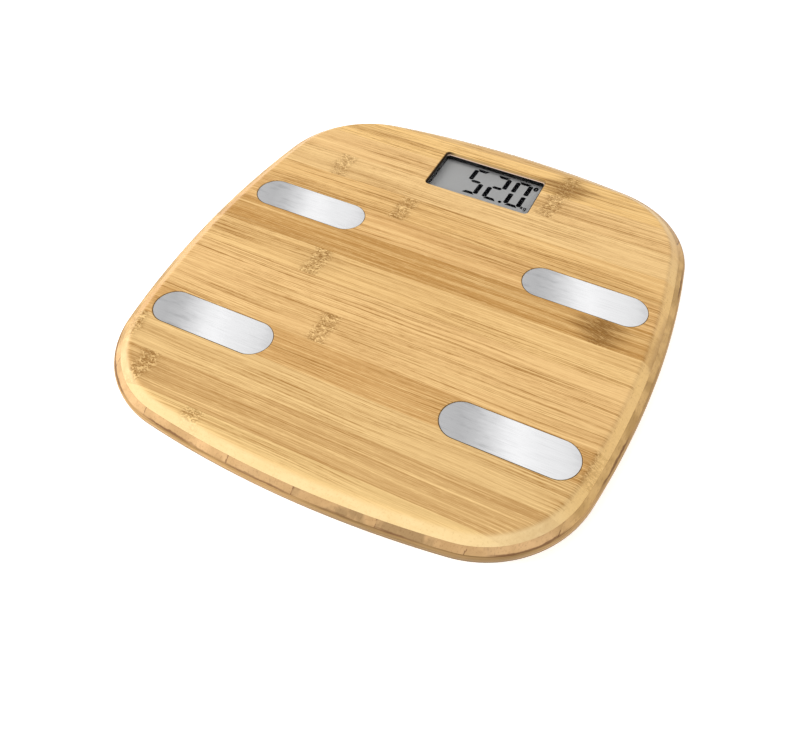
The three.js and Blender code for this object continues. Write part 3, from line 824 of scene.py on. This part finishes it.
def studHole(name, sx, steps=24):
    return circle(sx * electrode["studX"], middleOf("electrode_" + name)[1], electrode["studHole"], steps)


def rimProfile(edgeRadius, z0, z1, support=0.4):
    # From the bottom of a hole's wall up to a rounded rim and a little way out on the face
    return rounded([(0, z0, 0), (0, z1, edgeRadius), (edgeRadius + support, z1, 0)], steps=4)


def topPly():
    shape = Shape()
    outer = shape.rings(edge, edgeBetween(coreTopZ, topZ))
    rim = shape.rings(window, rimProfile(display["rim"], coreTopZ, topZ, 0.3))
    upper, under = [rim[-1]], [rim[0]]
    for name, end, side, sx, sy in corners:
        floorZ = electrodeBoxes[name][1][2] - electrode["thickness"]
        wall = shape.rings(electrodeOutline(name), rimProfile(electrode["rim"], floorZ, topZ)
                           + [electrode["gap"], 0])
        hole = shape.rings(studHole(name, sx), [(0, coreTopZ), (0, floorZ)])
        shape.fill(wall[0], hole[1])
        upper.append(wall[-1])
        under.append(hole[0])
    shape.fill(outer[-1], *upper)
    shape.fill(outer[0], *under)
    makePiece("bamboo_top_ply", shape, "bamboo_face", ["top_ply"])


bay = {"size": (124.0, 58.0, 8.0)}
bayOutline = roundedBox(0, displayY, *bay["size"])


def corePly():
    shape = Shape()
    outer = shape.rings(edge, edgeBetween(coreZ, coreTopZ))
    outlines = [bayOutline] + [studHole(name, sx) for name, end, side, sx, sy in corners]
    holes = [shape.rings(outline, [(0, coreZ), (0, coreTopZ)]) for outline in outlines]
    shape.fill(outer[0], *[hole[0] for hole in holes])
    shape.fill(outer[-1], *[hole[1] for hole in holes])
    makePiece("bamboo_core_ply", shape, "bamboo_core", ["core_ply"])


foot = {
    "bracketRadius": 23.0,
    "pocketGap": 0.3,
    "screwReach": 28.0,
    "earWidth": 10.0,
    "earFillet": 4.0,
    "lipRadius": 17.5,
    "wall": 2.0,
    "roofHole": 12.0,
    "roof": 1.0,
    "slotZ": 12.5,  # start of the gap for the load cell's lead
    "capRadius": 16.8,
    "capFlange": 20.2,
    "capFlangeTop": 1.3,  # above the board's underside
    "capHollow": 13.0,
    "capNose": 4.0,  # the part that presses on the load cell
    "capGroove": (5.2, 5.6, 6.1, 6.5),
    "capGrooveDepth": 0.5,
    "soleGrooves": (4.2, 9.4),
    "soleGrooveDepth": 0.6,
}
groove = {
    "depth": 4.2,
    "mainX": 38.0,
    "mainHalf": 4.0,
    "branchHalf": 1.6,
    "notchHalf": 8.0,
    "notchDepth": 1.6,
    "beside": 2.2,  # distance of a lead from the groove's middle line
    "bend": 2.0,
    "electrodeLead": 0.6,
    "cellLead": 0.7,
}
pilotRadius = 1.7
coverScrew = {"x": 65.5, "y": 33.0}


def coverHole(sx, sy, z0, z1):
    return peg(sx * coverScrew["x"], displayY + sy * coverScrew["y"], pilotRadius, z0, z1)


def channel(x0, x1, y0, y1, z1):
    plan = roundedBox((x0 + x1) / 2, (y0 + y1) / 2, abs(x1 - x0), y1 - y0, 0.4, 3)
    return prism(plan, boardZ - 1, z1)


def bottomPly():
    s = groove
    low, through, grooveZ = boardZ - 1, coreZ + 1, boardZ + s["depth"]
    width, depth = bay["size"][:2]

    def branch(x0, x1, y):
        return channel(x0, x1, y - s["branchHalf"], y + s["branchHalf"], grooveZ)

    cuts = [prism(bayOutline, low, through)]
    for name, end, side, sx, sy in corners:
        x, y = middleOf("foot_pad_" + name)[:2]
        cuts.append(peg(x, y, foot["bracketRadius"] + foot["pocketGap"], low, through, 96))
        for turn in (-1, 1):
            cuts.append(peg(x, y + turn * foot["screwReach"], pilotRadius, low, through))
        studY = middleOf("electrode_" + name)[1]
        cuts.append(branch(sx * s["mainX"], sx * (electrode["studX"] + 2), studY))
        cuts.append(prism(studHole(name, sx, 20), low, through))
        start = s["mainX"] if end == "front" else width / 2 - 1
        cuts.append(branch(sx * start, sx * (abs(x) - foot["bracketRadius"] + 1), y))
        cuts.append(coverHole(sx, sy, low, through))
    frontY = middleOf("foot_pad_front_left")[1] - s["branchHalf"]
    for sx in (-1, 1):
        lane = sx * s["mainX"]
        cuts.append(channel(lane - s["mainHalf"], lane + s["mainHalf"], frontY,
                            displayY - depth / 2 + 1, grooveZ))
    cuts.append(channel(-s["notchHalf"], s["notchHalf"], displayY + depth / 2 - 1, half + 5,
                        boardZ + s["notchDepth"]))
    makePiece("bamboo_bottom_ply", Shape().skin(edge.rings(edgeBetween(boardZ, coreZ))), "bamboo_back",
              ["bottom_ply"], cuts=cuts)


topPly()
corePly()
bottomPly()
print("platform made")


def electrodePlate(name, sx):
    # Stadium plate with a rolled edge; its face rises to the middle line as 1 - (1 - s) squared
    s = electrode
    low, high = electrodeBoxes[name]
    floorZ, rimZ = high[2] - s["thickness"], high[2] - s["crown"]
    inward = np.linspace(0.0, 1.0, 9)[1:]
    reach = (high[1] - low[1]) / 2 - s["rim"] - s["land"]
    crown = np.column_stack([-s["rim"] - reach * inward, high[2] - s["crown"] * (1 - inward) ** 2])
    side = rounded([(-0.4, floorZ, 0), (0, floorZ, 0.1), (0, rimZ, s["rim"]), (-s["rim"], rimZ, 0)])
    rings = electrodeOutline(name).rings(np.concatenate([side[:-1], crown]))
    rootZ = floorZ + s["studRoot"]
    stud = Shape().turned(sx * s["studX"], (low[1] + high[1]) / 2, rounded([
        (0, s["studEnd"], 0), (s["studRadius"], s["studEnd"], 0.3), (s["studRadius"], rootZ, 0),
        (0, rootZ, 0)]), 24)
    makePiece("electrode_plate_" + name, Shape().skin(rings), "electrode_steel", ["electrode_" + name],
              joins=[stud])


for name, end, side, sx, sy in corners:
    electrodePlate(name, sx)
print("electrodes made")


def bezel():
    s = display
    outerWall, innerWall = -s["bezelGap"], -s["bezelGap"] - s["bezelWall"]
    low, top = s["flangeBottom"], s["bezelTop"]
    profile = rounded([
        (innerWall, low, 0.1), (s["flange"], low, 0.1), (s["flange"], coreTopZ, 0.1),
        (outerWall, coreTopZ, 0.1), (outerWall, top, 0.25), (innerWall, top, 0.35)], closed=True, steps=4)
    shape = Shape()
    shape.rings(window, profile, along=True)
    makePiece("display_bezel_frame", shape, "bezel_plastic", ["display_bezel"], slot="black_plastic")


def slabPiece(name, node, radius, edgeRadius, look):
    # Plate over a node's box, its corners and its upper and lower edges rounded
    low, high = boxOf(node)
    profile = rounded([(-2 * edgeRadius, low[2], 0), (0, low[2], edgeRadius), (0, high[2], edgeRadius),
                       (-2 * edgeRadius, high[2], 0)], steps=3)
    makePiece(name, Shape().skin(boxOutline(low, high, radius, 6).rings(profile)), look, [node])


digits = {
    "value": "520",
    "firstX": -12.8,  # left stroke of the first digit, at its middle
    "pitch": 15.6,
    "width": 9.0,
    "midY": 2.95,  # from the display's middle
    "height": 12.0,  # from the middle bar to the top bar
    "upright": 3.2,
    "bar": 2.45,
    "gap": 0.32,
    "point": 0.35,  # how far the ends of the uprights are drawn to a point
    "slant": 0.04,
    "thickness": 0.04,
    "segments": {"0": "abcdef", "2": "abged", "5": "afgcd"},
    "dot": (14.7, -12.1, 1.2),  # place and radius of the point
    "ring": (31.3, 10.2, 1.05, 1.65),  # middle and half sizes of the small ring
    "ringSides": 12,
    "ringStroke": 1.5,
    # strokes of the unit mark
    "mark": [((29.6, -10.0), (29.6, -12.6)), ((29.6, -11.7), (30.8, -10.6)),
             ((30.0, -11.4), (30.9, -12.6)), ((31.8, -10.8), (33.2, -10.8)),
             ((31.8, -10.8), (31.8, -12.4)), ((31.8, -12.4), (33.2, -12.4)),
             ((33.2, -10.7), (33.2, -13.6)), ((33.2, -13.6), (31.9, -13.6))],
    "markStroke": 0.7,
}


def upright(x, y0, y1, width, slope):
    # Six-sided upright stroke with pointed shoulders
    w, t = width / 2, slope
    return [(x - w, y0 + t), (x, y0), (x + w, y0 + t), (x + w, y1 - t), (x, y1), (x - w, y1 - t)]


def segmentShapes(left):
    # The seven strokes of one digit, a to g, before the slant
    s = digits
    right, h = left + s["width"], s["height"]
    w, b, g = s["upright"] / 2, s["bar"] / 2, s["gap"]
    inner0, inner1 = left + w * 0.4 + g, right - w * 0.4 - g
    outer0, outer1 = left - w * 0.1 + g, right + w * 0.1 - g
    lowEnd, highEnd = b * 0.6, h + b * 0.2
    places = {"f": (left, lowEnd, highEnd - g), "b": (right, lowEnd, highEnd - g),
              "e": (left, -highEnd + g, -lowEnd), "c": (right, -highEnd + g, -lowEnd)}
    sides = {key: upright(*place, s["upright"], w * s["point"]) for key, place in places.items()}
    bars = {
        "a": [(outer0, h + b), (inner0 + b, h - b), (inner1 - b, h - b), (outer1, h + b)],
        "d": [(outer0, -h - b), (outer1, -h - b), (inner1 - b, -h + b), (inner0 + b, -h + b)],
        "g": [(inner0, 0), (inner0 + b, b), (inner1 - b, b), (inner1, 0), (inner1 - b, -b),
              (inner0 + b, -b)],
    }
    return {**sides, **bars}


def inked(shape, points, z):
    # Thin raised plate over a flat polygon
    s = digits
    plan = np.array(points, float)
    plan[:, 0] += plan[:, 1] * s["slant"]
    plan[:, 1] += displayY + s["midY"]
    shape.skin([np.column_stack([plan, np.full(len(plan), height)]) for height in (z, z + s["thickness"])])


def stroke(start, end, width):
    # Rectangle along a line
    a, b = np.array(start, float), np.array(end, float)
    ahead = (b - a) / np.linalg.norm(b - a)
    side = np.array([-ahead[1], ahead[0]]) * width / 2
    return [a - side, b - side, b + side, a + side]


def oval(x, y, rx, ry, steps=20):
    turn = np.linspace(0, math.tau, steps, endpoint=False)
    return np.column_stack([x + rx * np.cos(turn), y + ry * np.sin(turn)])


def reading():
    s = digits
    z = boxOf("lcd_panel")[1][2] + 0.01
    shape = Shape()
    for i, digit in enumerate(s["value"]):
        strokes = segmentShapes(s["firstX"] + i * s["pitch"])
        for key in s["segments"][digit]:
            inked(shape, strokes[key], z)
    x, y, radius = s["dot"]
    inked(shape, oval(x, y, radius, radius), z)
    x, y, rx, ry = s["ring"]
    for turn in range(s["ringSides"]):
        ends = [(x + rx * math.cos(t), y + ry * math.sin(t))
                for t in np.array([turn, turn + 1.15]) * math.tau / s["ringSides"]]
        inked(shape, stroke(*ends, s["ringStroke"]), z)
    for start, end in s["mark"]:
        inked(shape, stroke(start, end, s["markStroke"]), z)
    makePiece("lcd_segments", shape, "lcd_ink", slot="lcd_face")


bezel()
slabPiece("display_cover_lens", "display_lens", 1.7, 0.12, "clear_lens")
slabPiece("lcd_glass", "lcd_panel", 0.6, 0.15, "lcd_face")
reading()
print("display made")


cover = {
    "tub": (120.0, 54.0, 7.0),
    "flange": (140.0, 74.0, 8.0),
    "wall": 1.5,
    "flangeThickness": 1.2,
    "bottomEdge": 2.0,
    "postRadius": 2.5,  # posts under the main circuit board
    "postX": (-40, 48),
    "postY": 18.0,
    "postTop": 11.4,
    "pinRadius": 1.4,  # posts under the charging board
    "pinX": 7.2,
    "pinY": 11.0,  # in from the socket's mouth
    "pinTop": 9.4,
    "buttonHole": 3.9,
    "socketHole": (9.8, 2.9, 0.2),
}


def coverShell():
    s = cover
    low, high = boxOf("electronics_cover")
    tub, flange = (roundedBox(0, displayY, *s[key], 10) for key in ("tub", "flange"))
    wall, seat, floorZ = s["wall"], high[2] - s["flangeThickness"], low[2] + s["wall"]
    outer = rounded([(-6.5, low[2], 0), (0, low[2], s["bottomEdge"]), (0, seat, 0.6), (0.8, seat, 0)],
                    steps=6)
    lip = rounded([(-0.8, seat, 0), (0, seat, 0.35), (0, high[2], 0.15), (-0.6, high[2], 0)], steps=4)
    inner = rounded([(-wall + 0.3, high[2], 0), (-wall, high[2], 0.1), (-wall, floorZ, 1.0),
                     (-6.6, floorZ, 0)])
    posts = [peg(x, displayY + sy * s["postY"], s["postRadius"], floorZ - 0.5, s["postTop"], 24)
             for sy in (-1, 1) for x in s["postX"]]
    portLow, portHigh = boxOf("usb_port")
    posts += [peg(sx * s["pinX"], portHigh[1] - s["pinY"], s["pinRadius"], floorZ - 0.5, s["pinTop"], 16)
              for sx in (-1, 1)]
    rearY, portZ = displayY + s["tub"][1] / 2, (portLow[2] + portHigh[2]) / 2
    cuts = [
        peg(*middleOf("unit_button")[:2], s["buttonHole"], low[2] - 1, floorZ + 1, 40),
        prism(roundedBox(0, rearY, *s["socketHole"], 2), portZ - 2, portZ + 1.6),
        prism(roundedBox(0, rearY + 20, 2 * groove["notchHalf"], 40, 0.5, 3), low[2], high[2] + 1),
    ]
    cuts += [coverHole(sx, sy, high[2] - 2, high[2] + 1) for sx in (-1, 1) for sy in (-1, 1)]
    shell = Shape().skin(tub.rings(outer) + flange.rings(lip) + tub.rings(inner))
    makePiece("electronics_cover_shell", shell, "white_plastic", ["electronics_cover"], joins=posts,
              cuts=cuts)


def bracketOutline(x, y):
    # Round housing with an ear at each end, joined by hollow fillets tangent to both
    s = foot
    radius, ear, fillet = s["bracketRadius"], s["earWidth"] / 2, s["earFillet"]
    fx = ear + fillet
    fy = math.sqrt((radius + fillet) ** 2 - fx ** 2)
    turn, pi = math.atan2(fy, fx), math.pi
    reach = s["screwReach"]
    return Outline([
        (x, y, radius, -turn, turn, 40), (x + fx, y + fy, -fillet, turn, 0, 8),
        (x, y + reach, ear, 0, pi, 20), (x - fx, y + fy, -fillet, pi, pi - turn, 8),
        (x, y, radius, pi - turn, pi + turn, 40), (x - fx, y - fy, -fillet, pi + turn, pi, 8),
        (x, y - reach, ear, pi, 2 * pi, 20), (x + fx, y - fy, -fillet, 2 * pi, 2 * pi - turn, 8)])


def bracket(name, sx):
    s = foot
    low, high = boxOf("foot_bracket_" + name)
    x, y = middleOf("foot_pad_" + name)[:2]
    eared = bracketOutline(x, y)
    spoke = eared.ring(0, 0)[:, :2] - [x, y]
    spoke /= np.linalg.norm(spoke, axis=1)[:, None]

    def roundRing(radius, z):
        return np.column_stack([[x, y] + radius * spoke, np.full(len(spoke), z)])

    outside, inside, roofZ = s["bracketRadius"], s["bracketRadius"] - s["wall"], high[2] - s["roof"]
    edgeRings = eared.rings(rounded(
        [(-0.8, low[2], 0), (0, low[2], 0.4), (0, boardZ, 0.1), (-0.4, boardZ, 0)], steps=4))
    barrel = rounded([
        (outside - 0.8, boardZ, 0), (outside - 0.5, boardZ, 0), (outside - 0.2, boardZ + 0.3, 0),
        (outside - 0.2, high[2], 0.3), (s["roofHole"], high[2], 0.1), (s["roofHole"], roofZ, 0.1),
        (inside, roofZ, 0.3), (inside, boardZ, 0.3), (s["lipRadius"], boardZ, 0.15),
        (s["lipRadius"], low[2], 0.3), (s["lipRadius"] + 0.8, low[2], 0)], steps=4)
    shape = Shape()
    index = shape.add(edgeRings + [roundRing(r, z) for r, z in barrel])
    shape.bands(index, along=True)
    cuts = [peg(x, y + turn * s["screwReach"], pilotRadius, low[2] - 1, boardZ + 1) for turn in (-1, 1)]
    slotX = x - sx * (outside - s["wall"] / 2)
    cuts.append(prism(roundedBox(slotX, y, s["wall"] + 2, 2, 0.3, 3), s["slotZ"], roofZ))
    makePiece("foot_housing_" + name, shape, "white_plastic", ["foot_bracket_" + name], cuts=cuts)


def footCap(name):
    s = foot
    top = boxOf("foot_cap_" + name)[1][2]
    padTop = boxOf("foot_pad_" + name)[1][2]
    x, y = middleOf("foot_pad_" + name)[:2]
    flangeTop, radius, hollow = boardZ + s["capFlangeTop"], s["capRadius"], s["capHollow"]
    bottom = radius - s["capGrooveDepth"]
    z0, z1, z2, z3 = s["capGroove"]
    profile = rounded([
        (0, flangeTop - 2.5, 0), (hollow, flangeTop - 2.5, 0.5), (hollow, padTop, 0.2), (radius, padTop, 0.7),
        (radius, z0, 0.15), (bottom, z1, 0.15), (bottom, z2, 0.15), (radius, z3, 0.15),
        (radius, flangeTop - 1, 0.2), (s["capFlange"], flangeTop - 1, 0.2), (s["capFlange"], flangeTop, 0.3),
        (s["capNose"], flangeTop, 0.2), (s["capNose"], top, 0.3), (0, top, 0)], steps=4)
    makePiece("foot_button_" + name, Shape().turned(x, y, profile), "white_plastic",
              ["foot_cap_" + name], body="foot_" + name)


def footPad(name):
    # Rubber disc; its sole has two ring-shaped grooves
    low, high = boxOf("foot_pad_" + name)
    x, y = middleOf("foot_pad_" + name)[:2]
    radius, sole = high[0] - x, low[2]
    path, bottom = [(0, sole, 0)], sole + foot["soleGrooveDepth"]
    for inner in foot["soleGrooves"]:
        path += [(inner, sole, 0.2), (inner + 0.5, bottom, 0.2), (inner + 1.5, bottom, 0.2),
                 (inner + 2.0, sole, 0.2)]
    path += [(radius - 1.0, sole, 0.7), (radius, sole + 0.9, 0.5), (radius, high[2], 0.15), (0, high[2], 0)]
    makePiece("foot_sole_" + name, Shape().turned(x, y, rounded(path, steps=3)), "foot_rubber",
              ["foot_pad_" + name], body="foot_" + name)


screwForm = {
    "headDepth": 1.8,
    "crown": 0.85,
    "recess": 1.15,  # depth of the cross at the middle, and its fall towards the ends
    "recessFall": 0.35,
    "armHalf": 0.42,
    "armReach": 1.75,
    "shank": 1.4,
    "tip": 0.35,
}


def screw(name, node):
    # Pan head: dome z = crown * (r / R)^4, with a cross recess where a turned square grid is
    # close to either axis; the shank tapers to a point above the board's underside
    s = screwForm
    low, high = boxOf(node)
    x, y = ((low + high) / 2)[:2]
    headRadius, seat = (high[0] - low[0]) / 2, low[2] + s["headDepth"]
    headRadii = np.concatenate([np.linspace(0.12, 2.0, 11), [2.25, 2.5, 2.68, 2.77, headRadius]])
    steps = 48
    turn = np.linspace(0, math.tau, steps, endpoint=False)
    grid = []
    for radius in headRadii:
        u, v = radius * np.cos(turn), radius * np.sin(turn)
        arm = np.minimum(np.abs(u), np.abs(v))
        cross = np.clip((s["armHalf"] - arm) / 0.14, 0, 1) * np.clip((s["armReach"] - radius) / 0.3, 0, 1)
        dome = s["crown"] * (radius / headRadius) ** 4
        z = low[2] + dome + cross * (s["recess"] - s["recessFall"] * radius)
        grid.append(np.column_stack([x + u, y + v, z]))
    shank = rounded([(headRadius, seat - 0.2, 0), (headRadius - 0.15, seat, 0), (s["shank"], seat, 0.1),
                     (s["shank"], high[2] - 2.0, 0.4), (s["tip"], high[2] - 0.05, 0)], steps=3)
    grid += [np.column_stack([x + radius * np.cos(turn), y + radius * np.sin(turn), np.full(steps, z)])
             for radius, z in shank]
    shape = Shape()
    index = shape.add(grid)
    shape.bands(index)
    shape.pole(index[0], (x, y, low[2] + s["recess"]))
    shape.pole(index[-1], (x, y, high[2]))
    makePiece(name, shape, "screw_steel", [node], sharp=28)


def unitButton():
    # Domed key over a collar that stays inside the cover, and a stem up to the switch
    low, high = boxOf("unit_button")
    x, y = middleOf("unit_button")[:2]
    sole, capZ = low[2], boxOf("electronics_cover")[0][2] + 1.8
    profile = rounded([
        (0, sole + 0.25, 0), (1.6, sole + 0.2, 2.0), (2.6, sole, 0.5), (3.5, sole, 0.5), (3.5, capZ, 0.2),
        (5.0, capZ, 0.15), (5.0, capZ + 0.8, 0.2), (1.5, capZ + 0.8, 0.3), (1.5, high[2], 0.2),
        (0, high[2], 0)], steps=4)
    makePiece("unit_push_button", Shape().turned(x, y, profile, 64), "button_plastic", ["unit_button"],
              body="unit_button")


socket = {
    "wall": 0.35,
    "back": 0.8,  # thickness of its rear wall
    "tongue": (6.6, 0.7, 0.2),
}


def chargingSocket():
    # Shell and tongue along Y: outlines in X and Z, profile (offset, depth)
    s = socket
    low, high = boxOf("usb_port")
    midZ, mouth, back, wall = (low[2] + high[2]) / 2, high[1], low[1], s["wall"]
    width, height = high[0] - low[0], high[2] - low[2]
    shell = rounded([(-0.6, back, 0), (0, back, 0.3), (0, mouth, 0.12), (-wall, mouth, 0.15),
                     (-wall, back + s["back"], 0.2), (-wall - 0.6, back + s["back"], 0)], steps=4)
    tongue = rounded([(-0.25, back + 0.7, 0), (0, back + 0.7, 0), (0, mouth - 1.0, 0.15),
                      (-0.25, mouth - 1.0, 0)])
    for name, outline, profile, look, stands in (
            ("shell", roundedBox(0, 0, width, height, height / 2, 14), shell, "socket_steel", ["usb_port"]),
            ("tongue", roundedBox(0, 0, *s["tongue"], 4), tongue, "black_plastic", [])):
        rings = [ring[:, [0, 2, 1]] + [0, 0, midZ] for ring in outline.rings(profile)]
        makePiece("charging_socket_" + name, Shape().skin(rings), look, stands)


def lead(piece, node, sx, y, z, laneX, radius, look):
    # From the outer end inwards and, where the lead has a lane, round a bend and along it
    box, outside = boxOf(node), int(sx > 0)
    outer, inner = box[outside][0], box[1 - outside][0]
    route = [(outer, y, 0), (inner, y, 0)]
    if laneX:
        route = [(outer, y, 0), (sx * laneX, y, groove["bend"]), (sx * laneX, box[1][1], 0)]
    makePiece(piece, Shape().tube(rounded(route, steps=8), radius, z), look, [node])


def wires():
    # Each lead lies in its groove on the route of its node
    s = groove
    for name, end, side, sx, sy in corners:
        z = middleOf("electrode_wire_" + name)[2]
        front = end == "front"
        lead("electrode_lead_" + name, "electrode_wire_" + name, sx, middleOf("electrode_" + name)[1], z,
             s["mainX"] if front else s["mainX"] + s["beside"], s["electrodeLead"],
             "wire_blue" if side == "left" else "wire_white")
        lead("load_cell_lead_" + name, "load_cell_wire_" + name, sx, middleOf("foot_pad_" + name)[1], z,
             s["mainX"] - s["beside"] if front else None, s["cellLead"], "wire_red")


coverShell()
for name, end, side, sx, sy in corners:
    bracket(name, sx)
    footCap(name)
    footPad(name)
    screw("cover_pan_screw_" + name, "cover_screw_" + name)
    for place in ("inner", "outer"):
        screw(f"foot_pan_screw_{name}_{place}", f"foot_screw_{name}_{place}")
unitButton()
chargingSocket()
wires()
print("underside made")


kept = {"lcd_holder": "white_plastic", "zebra_strip": "strip_rubber", "main_pcb": "circuit_board",
        "controller_chip": "black_plastic", "supercapacitor": "capacitor_sleeve",
        "unit_switch": "black_plastic", "charging_pcb": "circuit_board"}
kept.update({"load_cell_" + name: "cell_steel" for name, *_ in corners})
for node, look in kept.items():
    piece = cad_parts[node]
    piece.data.materials.clear()
    piece.data.materials.append(looks[look])
print("finishes put on", len(kept), "kept nodes")


studio = {
    "floorSize": 6.0,
    "floorTone": (250, 250, 250),
    "floorGlow": 0.4,
    "world": 0.94,
    "keyPlace": (-1.25, -0.85, 1.0),
    "keySize": 0.9,
    "keyPower": 22.0,
}
lens = {
    "length": 33.54,
    "azimuth": 23.97,
    "elevation": 53.35,
    "roll": 1.28,
    "distance": 404.18,
    "aim": (46.9, -53.54, 22.0),
    "shift": (-0.0614, 0.0073),
}


def makeFloor():
    size = studio["floorSize"]
    mesh = bpy.data.meshes.new("floor")
    spots = [(-size, -size, 0), (size, -size, 0), (size, size, 0), (-size, size, 0)]
    mesh.from_pydata(spots, [], [(0, 1, 2, 3)])
    net, x, y, z = openNet("floor_paper")
    grain = net.noise(x, y, z, scale=0.4)
    mesh.materials.append(net.finish(
        Base_Color=paint(*studio["floorTone"]), Roughness=0.8 + 0.05 * grain,
        Emission_Color=(1.0, 1.0, 1.0, 1.0), Emission_Strength=studio["floorGlow"]))
    link("floor", mesh)


def makeLight(name, place, size, power):
    light = bpy.data.lights.new(name, "AREA")
    light.shape = "DISK"
    light.size = size
    light.energy = power
    lamp = link(name, light)
    lamp.location = place
    lamp.rotation_euler = Vector(place).to_track_quat("Z", "Y").to_euler()
    lamp.visible_glossy = False  # the metal mirrors only the even surroundings


def makeWorld():
    world = bpy.data.worlds.new("studio")
    world.use_nodes = True
    world.node_tree.nodes["Background"].inputs["Color"].default_value = (1, 1, 1, 1)
    world.node_tree.nodes["Background"].inputs["Strength"].default_value = studio["world"]
    bpy.context.scene.world = world


def makeCamera():
    # Looks at the aim point from an azimuth and elevation, then rolls about its own axis
    s = lens
    a, e, r = (math.radians(s[key]) for key in ("azimuth", "elevation", "roll"))
    back = Vector((math.sin(a) * math.cos(e), -math.cos(a) * math.cos(e), math.sin(e)))
    right = Vector((math.cos(a), math.sin(a), 0))
    up = back.cross(right)
    turn = Matrix((right * math.cos(r) + up * math.sin(r), up * math.cos(r) - right * math.sin(r), back))
    data = bpy.data.cameras.new("camera")
    data.lens = s["length"]
    data.sensor_width = 36.0
    data.shift_x, data.shift_y = s["shift"]
    data.clip_start, data.clip_end = 0.01, 50.0
    camera = link("camera", data)
    place = Vector(s["aim"]) + back * s["distance"]
    camera.matrix_world = Matrix.Translation(place * mm) @ turn.transposed().to_4x4()
    bpy.context.scene.camera = camera


makeFloor()
makeWorld()
makeLight("key", studio["keyPlace"], studio["keySize"], studio["keyPower"])
makeCamera()
bpy.context.scene.view_settings.view_transform = "Standard"

print("scene done")
